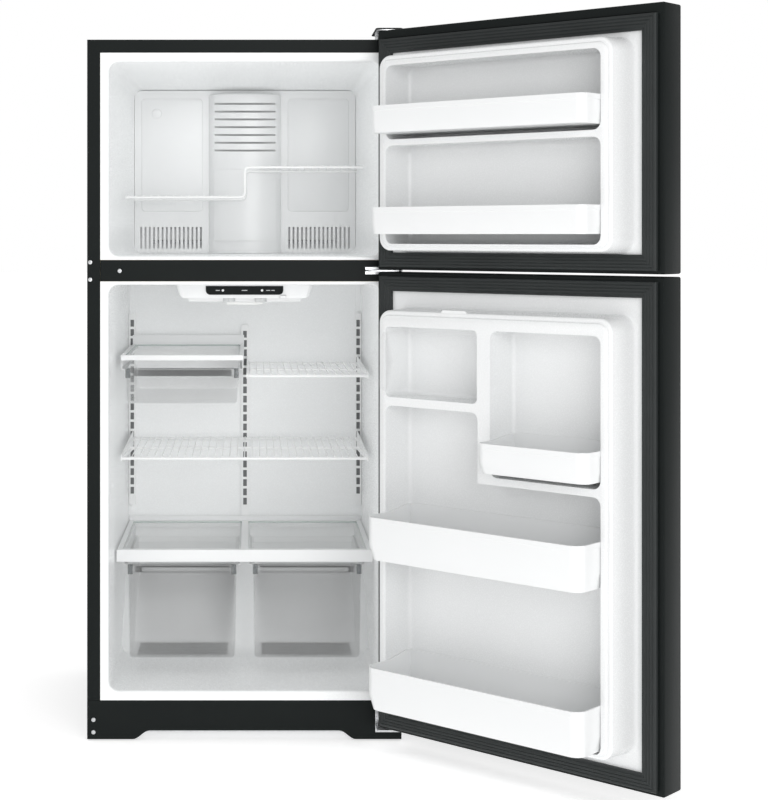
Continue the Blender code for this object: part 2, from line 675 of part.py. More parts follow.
# ---------------------------------------------------------------------------------------------
# Inside the fresh-food compartment
# ---------------------------------------------------------------------------------------------
def build_controls(root, white, black, clear, grey):
    half, front, rear = 0.169, 0.120, 0.330
    top, under = FOOD_CEILING - GAP - 0.001, FOOD_CEILING - 0.0365
    profile = [(front, top), (front, under), (front + 0.040, under), (front + 0.055, under - 0.012),
               (rear - 0.030, under - 0.012), (rear, top)]
    housing = place("control_housing", prism(profile, "X", -half, half), white, root)
    strip_top, strip_foot = FOOD_CEILING - 0.0066, FOOD_CEILING - 0.0280
    strip = rounded((-0.095, strip_foot), (0.095, strip_top), (0.0, 0.0, 0.012, 0.012))
    place("control_panel", prism(strip, "Y", front - 0.0025, front - GAP), black, root)
    lamp_space = block((-0.047, front + 0.060, under - 0.05), (0.047, rear - 0.040, under + 0.012))
    cut(housing, lamp_space, "lamp_space")
    lens = block((-0.045, front + 0.062, under - 0.0185), (0.045, rear - 0.042, under + 0.004), 0.0015)
    lens = place("lamp_cover", lens, clear, root)
    cut(lens, block((-0.043, front + 0.064, under - 0.0165), (0.043, rear - 0.044, under + 0.02)), "hollow")

    for name, x in (("fresh_food_dial", -0.038), ("freezer_dial", 0.0395)):
        y = front + 0.0165
        axis = pivot(f"{name}_axis", (x, y, under), root)
        knob = disc("Z", (x, y), 0.015, under - 0.0090, under - GAP, 24)
        dial = place(name, knob, grey, axis, (x, y, under))
        add(dial, disc("Z", (x, y), 0.004, under - 0.001, under + 0.006, 12), "stem")
        pointer = block((x - 0.001, y - 0.0158, under - 0.0085), (x + 0.001, y - 0.010, under - 0.001))
        add(dial, pointer, "pointer")
        cut(housing, disc("Z", (x, y), 0.0045, under - 0.02, under + 0.0065, 12), f"{name}_bore")

    x, z = 0.094, FOOD_CEILING - 0.0325
    button_home = (x, front, z)
    slide = pivot("light_switch_axis", button_home, root)
    push = block((x - 0.007, front - 0.014, z - 0.0028), (x + 0.007, front + 0.016, z + 0.0028))
    place("light_switch_button", push, white, slide, button_home)
    well = block((x - 0.0075, front - 0.05, z - 0.0033), (x + 0.0075, front + 0.030, z + 0.0033))
    cut(housing, well, "switch_well")


def build_tracks(root, wire):
    track_spots = (
        ("left", -WALL_HALF + 0.0020, TRACK_TOP, TRACK_FOOT),
        ("center", -0.011, TRACK_TOP - 0.030, TRACK_FOOT - 0.032),
        ("right", WALL_HALF - 0.0020 - TRACK_WIDTH, TRACK_TOP, TRACK_FOOT),
    )
    for word, x, top, foot in track_spots:
        wide = 0.021 if word == "center" else TRACK_WIDTH
        bar = block((x, TRACK_FRONT, foot), (x + wide, LINER_DEPTH - GAP, top))
        track = place(f"shelf_track_{word}", bar, wire, root)
        cut(track, block((x + 0.002, TRACK_FRONT + 0.0015, foot - 0.01), (x + wide - 0.002, 1.0, top + 0.01)),
            "channel")
        slots = []
        for i in range(int((top - foot - 0.02) / TRACK_PITCH)):
            z = top - 0.020 - i * TRACK_PITCH
            middle = x + wide / 2
            slots.append(block((middle - 0.0018, TRACK_FRONT - 0.01, z - 0.012), (middle + 0.0018, 0.999, z)))
        cut(track, group(slots), "slots")


def side_bracket(x, thick, z, rise, fall, front, back):
    """Tapering plate that carries one end of a shelf from the wall track."""
    outline = [(front, z - 0.006), (front, z + 0.008), (back - 0.03, z + rise), (back, z + rise),
               (back, z - fall), (back - 0.03, z - fall)]
    return prism(outline, "X", x - thick / 2, x + thick / 2)


def build_wire_shelf(name, x_low, x_high, z, root, wire):
    front, back = SHELF_FRONT, TRACK_FRONT - GAP
    plates = [side_bracket(x, 0.002, z, 0.020, 0.030, front, back) for x in (x_low + 0.001, x_high - 0.001)]
    shelf = place(name, group(plates), wire, root)
    bars = []
    for y in (front + 0.006, (front + back) / 2, back - 0.012):
        bars.append(disc("X", (y, z), BAR_RADIUS, x_low + 0.0005, x_high - 0.0005, 10))
    add(shelf, group(bars), "bars")
    over = BAR_RADIUS + WIRE_RADIUS - 0.0009
    span = x_high - x_low - 0.016
    count = ceil(span / WIRE_PITCH)
    wires = []
    for i in range(count + 1):
        x = x_low + 0.008 + span * i / count
        wires.append(disc("Y", (x, z + over), WIRE_RADIUS, front + 0.003, back - 0.007, 6))
    add(shelf, group(wires), "wires")


def rails(x_low, x_high, z_top, z_ledge, front, back):
    """Two hanging rails with ledges that face each other, for a drawer's rim."""
    shapes = []
    for x, s in ((x_low, 1), (x_high, -1)):
        outline = [(x - 0.002 * s, z_top), (x, z_top), (x, z_ledge), (x + 0.007 * s, z_ledge),
                   (x + 0.007 * s, z_ledge - 0.002), (x - 0.002 * s, z_ledge - 0.002)]
        shapes.append(prism(outline, "Y", front, back))
    return group(shapes)


def build_glass_shelf(root, white, glass, clear):
    x_low, x_high = -SHELF_HALF, -0.003
    front, back, top = SHELF_FRONT, TRACK_FRONT - GAP, GLASS_SHELF_Z
    foot, lip = top - 0.0127, 0.025
    frame = place("half_glass_shelf", block((x_low, front, foot), (x_high, back, top)), white, root)
    add(frame, block((x_low, back - 0.004, foot + 0.001), (x_high, back, top + lip)), "back_lip")
    cut(frame, block((x_low + 0.016, front + 0.020, foot - 0.1), (x_high - 0.016, back - 0.020, top + 0.1)),
        "window")
    seat_low, seat_high = (x_low + 0.010, front + 0.014), (x_high - 0.010, back - 0.014)
    cut(frame, block((*seat_low, top - 0.0046), (*seat_high, top + 0.1)), "glass_seat")
    ledge = foot - 0.0227
    rim_low, rim_high = x_low + 0.0025, x_high - 0.0025
    add(frame, rails(rim_low, rim_high, foot + 0.002, ledge, front + 0.020, back - 0.010), "rails")
    pane = block((seat_low[0] + GAP, seat_low[1] + GAP, top - 0.0046 + GAP),
                 (seat_high[0] - GAP, seat_high[1] - GAP, top - GAP))
    place("half_shelf_glass", pane, glass, root)
    build_drawer("deli_drawer", rim_low + 0.001, rim_high - 0.001, ledge + 0.0005, front + 0.008,
                 back - 0.020, 0.0865, None, root, clear)


def build_drawer(name, x_low, x_high, z_rim, front, back, depth, slope, root, clear):
    """Clear open box that hangs by its rim. A slope is the pair where its floor starts and stops rising."""
    home = ((x_low + x_high) / 2, front, z_rim)
    slide = pivot(f"{name}_axis", home, root)
    wall, inset, rim = DRAWER_WALL, 0.0080, 0.0025
    foot, top = z_rim - depth, z_rim + rim

    def profile(grow, upper):
        low = foot + grow
        outline = [(front + grow, upper), (front + grow, low)]
        if slope:
            outline += [(slope[0] - grow * 0.4, low), (back - grow, slope[1] + grow * 0.8)]
        else:
            outline.append((back - grow, low))
        return outline + [(back - grow, upper)]

    drawer = place(name, prism(profile(0.0, top), "X", x_low + inset, x_high - inset), clear, slide, home)
    add(drawer, block((x_low, front + 0.012, z_rim), (x_high, back + 0.002, top)), "rim")
    cut(drawer, prism(profile(wall, top + 0.05), "X", x_low + inset + wall, x_high - inset - wall), "inside")
    grip = block((x_low + 0.030, front - 0.008, top - 0.006), (x_high - 0.030, front + 0.001, top - 0.003))
    add(drawer, grip, "grip")
    return drawer


def build_crispers(root, white, glass, clear):
    front, back, top = SHELF_FRONT - 0.004, TRACK_FRONT - GAP, CRISPER_TOP
    side, foot = WALL_HALF - 0.0035, CRISPER_TOP - 0.0155
    frame = place("crisper_cover", block((-side, front, foot), (side, back, top)), white, root)
    add(frame, block((-side - 0.0015, front, top - 0.030), (side + 0.0015, front + 0.006, top)), "fascia")
    lip = block((-side, back - 0.004, foot + 0.001), (side, back, top + 0.012))
    add(frame, lip, "back_lip")
    inner, rib = side - 0.018, 0.014
    y_low, y_high = front + 0.022, back - 0.022
    windows = [block((rib, y_low, foot - 0.1), (inner, y_high, top + 0.1)),
               block((-inner, y_low, foot - 0.1), (-rib, y_high, top + 0.1))]
    cut(frame, group(windows), "windows")
    seats = [block((rib - 0.005, y_low - 0.006, top - 0.0046), (inner + 0.006, y_high + 0.006, top + 0.1)),
             block((-inner - 0.006, y_low - 0.006, top - 0.0046), (-rib + 0.005, y_high + 0.006, top + 0.1))]
    cut(frame, group(seats), "glass_seats")
    ledge = top - 0.0395
    outer, middle = side - 0.0170, 0.0115
    for word, low, high in (("left", -outer, -middle), ("right", middle, outer)):
        rail = rails(low, high, foot + 0.002, ledge, front + 0.024, back - 0.012)
        add(frame, rail, f"{word}_rails")
        x_a, x_b = (rib - 0.005, inner + 0.006) if word == "right" else (-inner - 0.006, -rib + 0.005)
        pane = block((x_a + GAP, y_low - 0.006 + GAP, top - 0.0046 + GAP),
                     (x_b - GAP, y_high + 0.006 - GAP, top - GAP))
        place(f"crisper_glass_{word}", pane, glass, root)
        back_end = LINER_DEPTH - 0.060
        slope = (STEP_START - 0.015, FOOD_FLOOR + 0.222)
        build_drawer(f"crisper_{word}", low + 0.001, high - 0.001, ledge + 0.0005, front + 0.007,
                     back_end, 0.232, slope, root, clear)


# ---------------------------------------------------------------------------------------------
# Doors
# ---------------------------------------------------------------------------------------------
def ring(low, high, width, radius, start, stop):
    outer = rounded(low, high, radius)
    inner = rounded((low[0] + width, low[1] + width), (high[0] - width, high[1] - width), 0.004, 2)
    return prism([outer, inner], "Y", start, stop)


def build_door(name, foot, top, gasket_z, dike_z, cavities, carrier, steel, white, rubber):
    """Shell, liner and gasket of one door. Heights are pairs, low then high."""
    shell_box = block((-HALF, FACE_Y, foot), (HALF, RIM_Y, top), DOOR_EDGE)
    shell = place(f"{name}_shell", shell_box, steel, carrier)
    hollow_low = (-HALF + SHEET, FACE_Y + SHEET, foot + SHEET)
    hollow_high = (HALF - SHEET, RIM_Y - SHEET, top - SHEET)
    cut(shell, block(hollow_low, hollow_high, DOOR_EDGE - SHEET), "hollow")
    mouth_half = HALF - DOOR_RIM
    mouth = block((-mouth_half, RIM_Y - 0.01, foot + DOOR_RIM), (mouth_half, 0.1, top - DOOR_RIM))
    cut(shell, mouth, "mouth")
    bores = [disc("Z", (HINGE.x, HINGE.y), PIN_BORE, z - 0.01, z + 0.01, 16) for z in (foot, top)]
    cut(shell, group(bores), "hinge_bores")

    g_half = HALF - GASKET_SIDE
    plate = block((-g_half + 0.004, RIM_Y + GAP, gasket_z[0] + 0.004),
                  (g_half - 0.004, PLATE_Y, gasket_z[1] - 0.004))
    liner = place(f"{name}_liner", plate, white, carrier)
    low, high = (-DIKE_HALF, dike_z[0]), (DIKE_HALF, dike_z[1])
    reach = DIKE_HEIGHT

    def leaning_in(co):
        share = (co.y - PLATE_Y) / (reach - PLATE_Y)
        middle = (dike_z[0] + dike_z[1]) / 2
        half_z = (dike_z[1] - dike_z[0]) / 2
        shift = DIKE_LEAN * max(share, 0.0)
        x = co.x * (1 - shift / DIKE_HALF)
        return Vector((x, co.y, middle + (co.z - middle) * (1 - shift / half_z)))

    dike = reshape(prism(rounded(low, high, 0.030, 4), "Y", RIM_Y + GAP + 0.0001, reach), leaning_in)
    add(liner, dike, "raised_edge")
    for i, outline in enumerate(cavities):
        cut(liner, prism(outline, "Y", PLATE_Y, reach + 0.05), f"cavity_{i + 1}")
    outside, inside = DIKE_SHELL + DIKE_LEAN, DIKE_CREST + DIKE_LEAN - DIKE_SHELL
    cavity_floor = min(z for outline in cavities for x, z in outline)
    outer = rounded((low[0] + outside, low[1] + outside), (high[0] - outside, high[1] - outside), 0.026)
    inner_foot = cavity_floor - DIKE_SHELL
    inner = rounded((low[0] + inside, inner_foot), (high[0] - inside, high[1] - inside), 0.004, 2)
    cut(liner, prism([outer, inner], "Y", RIM_Y - 0.01, reach - DIKE_SHELL), "hollow_edge")

    seal = ring((-g_half, gasket_z[0]), (g_half, gasket_z[1]), GASKET_WIDTH, 0.010,
                PLATE_Y + GAP, -GASKET_REST)
    gasket = place(f"{name}_gasket", seal, rubber, carrier)
    soften = gasket.modifiers.new("soft_edges", "BEVEL")
    soften.width = 0.004
    soften.segments = 2
    soften.limit_method = "ANGLE"
    soften.angle_limit = radians(60)
    return liner


def build_bin(name, x_low, x_high, z_low, z_high, reach, carrier, white):
    """Open tray that fits between the walls of the door liner."""
    back = PLATE_Y + 0.0008
    outline = rounded((x_low, -reach), (x_high, -back), (0.003, 0.003, 0.022, 0.022), 4)
    outline = [(x, -y) for x, y in outline]
    tray = place(name, prism(outline, "Z", z_low, z_high), white, carrier)
    wall = BIN_WALL
    corners = (0.001, 0.001, 0.0195, 0.0195)
    inside = rounded((x_low + wall, -reach + wall), (x_high - wall, -back - wall), corners, 4)
    inside = [(x, -y) for x, y in inside]
    cut(tray, prism(inside, "Z", z_low + wall, z_high + 0.05), "inside")
    return tray


def build_handle(name, low, high, carrier, black):
    """Bowed bar on the front of a door, near its free edge."""
    steps, length = 10, high - low

    def bow(first, last, reach):
        """Points along a flattened arch, between two shares of the length."""
        points = []
        for i in range(steps + 1):
            rise = reach * max(sin(pi * i / steps), 0.0) ** 0.45
            points.append((FACE_Y - GAP - rise, low + length * (first + (last - first) * i / steps)))
        return points

    outline = bow(0.0, 1.0, HANDLE_REACH) + bow(0.95, 0.05, HANDLE_REACH - HANDLE_BAR)
    middle = -HALF + HANDLE_INSET
    grip = prism(outline, "X", middle - HANDLE_WIDTH / 2, middle + HANDLE_WIDTH / 2)
    place(name, grip, black, carrier)


def build_freezer_door(carrier, steel, white, rubber, black):
    foot, top = FREEZER_DOOR_FOOT, FREEZER_DOOR_TOP
    gasket_z = (foot + 0.0065, CASE_TOP - 0.008)
    dike_z = (FREEZER_FLOOR + 0.0115, FREEZER_CEILING - DIKE_CLEARANCE)
    low, high = dike_z[0] + 0.018, dike_z[1] - 0.0262
    ledge = low + (high - low) * 0.55
    cavities = [rounded((-CAVITY_HALF, low), (CAVITY_HALF, ledge), 0.016),
                rounded((-CAVITY_HALF, ledge + 0.014), (CAVITY_HALF, high), 0.016)]
    build_door("freezer_door", foot, top, gasket_z, dike_z, cavities, carrier, steel, white, rubber)
    reach = FREEZER_BIN_REACH
    build_bin("freezer_bin_upper", -BIN_HALF, BIN_HALF, ledge + 0.026, ledge + 0.087, reach,
              carrier, white)
    build_bin("freezer_bin_lower", -BIN_HALF, BIN_HALF, low + 0.022, low + 0.0825, reach, carrier, white)
    build_handle("freezer_handle", foot + 0.010, foot + 0.330, carrier, black)


def build_food_door(carrier, steel, white, rubber, black, clear):
    foot, top = FOOD_DOOR_FOOT, FOOD_DOOR_TOP
    gasket_z = (foot + 0.0095, top - 0.0095)
    dike_z = (FOOD_FLOOR + DIKE_CLEARANCE, top - 0.0815)
    low, high = dike_z[0] + 0.012, dike_z[1] - 0.039
    shelf_top = high - 0.160  # floor of the dairy compartment
    pocket_low = high - 0.316
    split, post = 0.028, 0.034
    room_top = pocket_low - 0.016
    cavities = [
        [(-CAVITY_HALF, low), (CAVITY_HALF, low), (CAVITY_HALF, shelf_top - 0.019),
         (split - 0.002, shelf_top - 0.019), (split - 0.002, room_top),
         (-CAVITY_HALF, room_top)],
        rounded((-CAVITY_HALF, pocket_low), (split - post, high), 0.014),
        rounded((split, shelf_top), (CAVITY_HALF, high), 0.011),
    ]
    liner = build_door("fresh_food_door", foot, top, gasket_z, dike_z, cavities,
                       carrier, steel, white, rubber)
    bump = block((0.060, 0.040, dike_z[1] - 0.006), (0.128, 0.0705, dike_z[1] + 0.002))
    add(liner, bump, "switch_actuator")

    reach = FOOD_BIN_REACH
    build_bin("door_bin_lower", -BIN_HALF, BIN_HALF, low + 0.0085, low + 0.1045, reach, carrier, white)
    build_bin("door_bin_upper", -BIN_HALF, BIN_HALF, room_top - 0.1872, room_top - 0.0902, reach,
              carrier, white)
    build_bin("small_door_bin", -BIN_HALF, split - post - BIN_GAP, pocket_low + 0.015, pocket_low + 0.080,
              reach - 0.020, carrier, white)
    build_dairy_cover(liner, carrier, split, shelf_top, high, clear)
    build_handle("fresh_food_handle", top - 0.460, top - 0.010, carrier, black)


def build_dairy_cover(liner, carrier, x_low, z_low, z_high, clear):
    """Curved clear cover that swings up and back about two side pins."""
    radius, wall, pin = 0.071, 0.002, 0.003
    y, z = 0.062, (z_low + z_high) / 2
    x_a, x_b = x_low + 0.0015, CAVITY_HALF - 0.0015
    home = (x_a, y, z)
    axis = pivot("dairy_cover_axis", home, carrier)

    def arc(r, first, last, steps):
        turns = [radians(first + (last - first) * i / steps) for i in range(steps + 1)]
        return [(y + r * cos(a), z + r * sin(a)) for a in turns]

    sector = arc(radius, -78, 80, 14) + [(y - 0.004, z + 0.010), (y - 0.008, z), (y - 0.004, z - 0.010)]
    cover = place("dairy_cover", prism(sector, "X", x_a, x_b), clear, axis, home)
    room = arc(radius - wall, -100, 102, 16) + [(y - 0.10, z + 0.10), (y - 0.10, z - 0.10)]
    cut(cover, prism(room, "X", x_a + wall, x_b - wall), "inside")
    pins = [disc("X", (y, z), pin, x_a - 0.0030, x_a + 0.001, 12),
            disc("X", (y, z), pin, x_b - 0.001, x_b + 0.0030, 12)]
    add(cover, group(pins), "pins")
    sockets = [disc("X", (y, z), pin + 0.0005, x_low - 0.0030, x_low + 0.001, 12),
               disc("X", (y, z), pin + 0.0005, CAVITY_HALF - 0.001, CAVITY_HALF + 0.0030, 12)]
    cut(liner, group(sockets), "cover_pivots")


# ---------------------------------------------------------------------------------------------
# Hinges
# ---------------------------------------------------------------------------------------------
def build_hinges(root, zinc, black):
    x, y, pin, long = HINGE.x, HINGE.y, PIN_RADIUS, PIN_LENGTH
    z = CASE_TOP + GAP
    over = FREEZER_DOOR_TOP + GAP
    top = place("top_hinge", block((x - 0.040, 0.002, z), (x + 0.018, 0.085, over + 0.0025)), zinc, root)
    cut(top, block((x - 0.05, 0.018, z + 0.0025), (x + 0.03, 0.1, over + 0.05)), "step")
    arm = rounded((x - 0.040, y - 0.016), (x + 0.018, 0.010), (0.002, 0.002, 0.012, 0.012))
    add(top, prism(arm, "Z", over, over + 0.0025), "arm")
    add(top, disc("Z", (x, y), pin, over - long, over + 0.001, 16), "pin")
    cap_z = over + 0.0025 + GAP
    cap = rounded((x - 0.043, y - 0.019), (x + 0.0205, 0.090), 0.010)
    place("top_hinge_cover", prism(cap, "Z", cap_z, cap_z + 0.0028), black, root)

    level = FOOD_DOOR_TOP + DOOR_GAP / 2
    plate = rounded((x - 0.064, y - 0.014), (x + 0.0205, -0.001), (0.0, 0.0, 0.010, 0.010))
    middle = place("middle_hinge", prism(plate, "Z", level - 0.0015, level + 0.0015), zinc, root)
    add(middle, block((x - 0.064, -0.0030, level - 0.0095), (x + 0.0205, -GAP, level + 0.0075)), "foot")
    add(middle, disc("Z", (x, y), pin, level - long - 0.003, level + long + 0.003, 16), "pins")

    shelf = FOOD_DOOR_FOOT - 0.0055
    bottom_plate = rounded((x - 0.040, y - 0.014), (x + 0.0195, 0.0026), (0.0, 0.0, 0.010, 0.010))
    bottom = place("bottom_hinge", prism(bottom_plate, "Z", shelf - 0.003, shelf), zinc, root)
    add(bottom, block((x - 0.040, 0.0, 0.0192), (x + 0.0195, 0.0026, 0.0722)), "leaf")
    add(bottom, disc("Z", (x, y), pin, shelf - 0.001, FOOD_DOOR_FOOT + long, 16), "pin")


def centre_on_floor(root):
    """Put the origin on the floor, under the middle of everything that stands there."""
    bpy.context.view_layer.update()
    graph = bpy.context.evaluated_depsgraph_get()
    spots = []
    for obj in KIT.objects:
        if obj.type == "MESH":
            shown = obj.evaluated_get(graph)
            spots += [shown.matrix_world @ vert.co for vert in shown.data.vertices]
    for i in range(2):
        root.location[i] = -(min(s[i] for s in spots) + max(s[i] for s in spots)) / 2


def main():
    clear_scene()
    black = paint("black_textured_steel", (0.022, 0.026, 0.025), 0.42)
    trim = paint("black_plastic", (0.018, 0.021, 0.020), 0.38)
    white = paint("white_plastic", (0.86, 0.87, 0.87), 0.28)
    wire = paint("white_coated_steel", (0.85, 0.86, 0.86), 0.35)
    foam = paint("insulation_foam", (0.80, 0.72, 0.48), 0.9)
    rubber = paint("dark_gasket_rubber", (0.030, 0.034, 0.033), 0.55)
    zinc = paint("zinc_plate", (0.72, 0.73, 0.74), 0.32, 1.0)
    copper = paint("condenser_tube", (0.06, 0.06, 0.06), 0.4, 0.6)
    silver = paint("aluminium", (0.78, 0.79, 0.80), 0.35, 1.0)
    clear = paint("clear_plastic", (0.90, 0.93, 0.94), 0.08, 0.0, 0.35)
    glass = paint("shelf_glass", (0.82, 0.90, 0.88), 0.05, 0.0, 0.35)
    grey = paint("grey_plastic", (0.70, 0.71, 0.71), 0.35)

    root = pivot("cabinet_frame")
    build_case(root, black, foam, trim)
    build_liners(root, white)
    build_front_trim(root, trim)
    build_base(root, zinc, trim)
    build_machine(root, trim, zinc, copper)
    build_freezer_inside(root, white, wire, silver, trim)
    build_controls(root, white, trim, clear, grey)
    build_tracks(root, wire)
    build_glass_shelf(root, white, glass, clear)
    build_wire_shelf("half_wire_shelf", 0.0045, SHELF_HALF, HALF_WIRE_Z, root, wire)
    build_wire_shelf("full_wire_shelf", -SHELF_HALF, SHELF_HALF, FULL_WIRE_Z, root, wire)
    build_crispers(root, white, glass, clear)
    build_hinges(root, zinc, trim)

    turn = radians(DOOR_ANGLE)
    freezer_axis = pivot("freezer_door_axis", HINGE, root, turn)
    food_axis = pivot("fresh_food_door_axis", HINGE, root, turn)
    build_freezer_door(freezer_axis, black, white, rubber, trim)
    build_food_door(food_axis, black, white, rubber, trim, clear)
    centre_on_floor(root)


main()
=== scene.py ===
# %% [markdown]
# # Top freezer refrigerator
# The object is a tall cabinet with a freezer on top and a fresh-food compartment below. Both doors
# stand open, so most of what is seen is the white inside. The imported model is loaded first. It is
# the fixed frame: it says where every piece is, and which body each piece turns or slides with.

# %% Load the frame
import json
from math import cos, pi, radians, sin

import bmesh
import bpy
from mathutils import Matrix, Vector

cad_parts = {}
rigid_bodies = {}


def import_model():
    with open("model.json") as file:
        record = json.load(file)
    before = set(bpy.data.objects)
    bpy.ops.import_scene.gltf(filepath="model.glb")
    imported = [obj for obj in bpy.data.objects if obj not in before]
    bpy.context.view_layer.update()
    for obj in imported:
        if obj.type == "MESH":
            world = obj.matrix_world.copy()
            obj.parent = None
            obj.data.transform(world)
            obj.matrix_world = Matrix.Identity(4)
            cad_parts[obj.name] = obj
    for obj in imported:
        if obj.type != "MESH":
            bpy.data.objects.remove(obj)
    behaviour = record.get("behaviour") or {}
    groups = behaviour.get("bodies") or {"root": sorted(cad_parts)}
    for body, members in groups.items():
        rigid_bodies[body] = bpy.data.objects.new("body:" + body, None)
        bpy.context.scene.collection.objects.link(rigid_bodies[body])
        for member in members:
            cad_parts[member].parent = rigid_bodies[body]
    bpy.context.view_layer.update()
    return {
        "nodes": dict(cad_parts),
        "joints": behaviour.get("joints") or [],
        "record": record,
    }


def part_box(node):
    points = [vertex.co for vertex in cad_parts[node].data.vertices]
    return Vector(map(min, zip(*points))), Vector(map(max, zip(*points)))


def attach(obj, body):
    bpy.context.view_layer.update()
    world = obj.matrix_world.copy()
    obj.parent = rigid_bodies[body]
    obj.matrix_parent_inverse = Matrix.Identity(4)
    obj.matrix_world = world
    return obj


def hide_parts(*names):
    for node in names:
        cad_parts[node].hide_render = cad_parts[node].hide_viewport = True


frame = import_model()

# %% [markdown]
# The cabinet is easiest to think about from its own front: zero across is its middle, zero deep is
# its front plane. One vector leads from there to the frame. A door is drawn as if it were shut and
# is then swung to rest about its hinge line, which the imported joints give.

# %% Places
case_low, case_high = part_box("outer_case")
FRONT = Vector(((case_low.x + case_high.x) / 2, case_low.y, 0.0))
HALF = (case_high.x - case_low.x) / 2
CASE_TOP = case_high.z
joints = {joint["name"]: joint for joint in frame["joints"]}
door_joint = joints["fresh_food_door_hinge"]
HINGE = Vector(door_joint["pos_m"])
SWING = radians(-door_joint["range_deg"][0])
to_rest = Matrix.Translation(HINGE) @ Matrix.Rotation(SWING, 4, "Z") @ Matrix.Translation(-HINGE)
to_shut = to_rest.inverted()


def shut_box(node):
    """Lowest and highest corner of a door's CAD node, with the door shut, from the cabinet's front."""
    spots = [to_shut @ vert.co - FRONT for vert in frame["nodes"][node].data.vertices]
    return (Vector(min(spot[i] for spot in spots) for i in range(3)),
            Vector(max(spot[i] for spot in spots) for i in range(3)))


def cabinet_box(node):
    """Lowest and highest corner of a CAD node, from the cabinet's front."""
    low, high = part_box(node)
    return low - FRONT, high - FRONT


print("half width", round(HALF, 4), "hinge", HINGE, "swing", round(SWING, 4))

# %% [markdown]
# ## Camera and light
# The camera stands level and a little left of the middle, with a long lens. Its shift moves the
# picture and keeps the cabinet's upright edges upright. The light is a plain studio: white all
# round, one large soft lamp high in front, and a weaker one from the other side.

# %% Camera
camera_data = bpy.data.cameras.new("camera")
camera = bpy.data.objects.new("camera", camera_data)
bpy.context.scene.collection.objects.link(camera)
camera.location = FRONT + Vector((0.0152, -4.0586, 1.2040))
camera.rotation_euler = (pi / 2, 0.0, 0.0)
camera_data.lens = 76.67
camera_data.sensor_width = 36.0
camera_data.shift_x = 0.1666
camera_data.shift_y = -0.2065
bpy.context.scene.camera = camera
bpy.context.scene.view_settings.view_transform = "Standard"
print("camera", camera.location)

# %% Light and floor
world = bpy.data.worlds.new("studio")
world.use_nodes = True
sky = world.node_tree.nodes["Background"]
sky.inputs["Color"].default_value = (1.0, 1.0, 1.0, 1.0)
sky.inputs["Strength"].default_value = 0.62
backdrop = world.node_tree.nodes.new("ShaderNodeBackground")
rays = world.node_tree.nodes.new("ShaderNodeLightPath")
either = world.node_tree.nodes.new("ShaderNodeMixShader")
world.node_tree.links.new(rays.outputs["Is Camera Ray"], either.inputs[0])
world.node_tree.links.new(sky.outputs[0], either.inputs[1])
world.node_tree.links.new(backdrop.outputs[0], either.inputs[2])
world.node_tree.links.new(either.outputs[0], world.node_tree.nodes["World Output"].inputs[0])
backdrop.inputs["Color"].default_value = (1.0, 1.0, 1.0, 1.0)
bpy.context.scene.world = world


def lamp(name, place, target, size, power):
    """A square soft lamp that points from its place to a target."""
    data = bpy.data.lights.new(name, "AREA")
    data.size = size
    data.energy = power
    made = bpy.data.objects.new(name, data)
    made.location = place
    made.rotation_euler = (Vector(target) - Vector(place)).to_track_quat("-Z", "Y").to_euler()
    bpy.context.scene.collection.objects.link(made)
    return made


lamp("key", (0.9, -4.9, 1.7), (-0.2, 0.0, 0.9), 2.4, 78)
lamp("fill", (-3.0, -3.0, 2.6), (0.0, 0.0, 0.9), 2.0, 8)

# %% [markdown]
# ## Shader values as sums
# A finish is a small tree of nodes. Wiring it by hand hides the idea, so one class wraps a socket:
# adding or multiplying two of them makes the Math node. A second class holds one material and makes
# any other node by its type.

# %% Socket and finish classes
class Value:
    """One shader socket. Python's operators on it make Math nodes."""

    def __init__(self, finish, socket):
        self.finish = finish
        self.socket = socket

    def maths(self, operation, first, second):
        return self.finish.node("ShaderNodeMath", {"operation": operation}, {0: first, 1: second})

    def __add__(self, other):
        return self.maths("ADD", self, other)

    def __sub__(self, other):
        return self.maths("SUBTRACT", self, other)

    def __rsub__(self, other):
        return self.maths("SUBTRACT", other, self)

    def __mul__(self, other):
        return self.maths("MULTIPLY", self, other)

    def __pow__(self, other):
        return self.maths("POWER", self, other)

    def __gt__(self, other):
        return self.maths("GREATER_THAN", self, other)

    __radd__ = __add__
    __rmul__ = __mul__


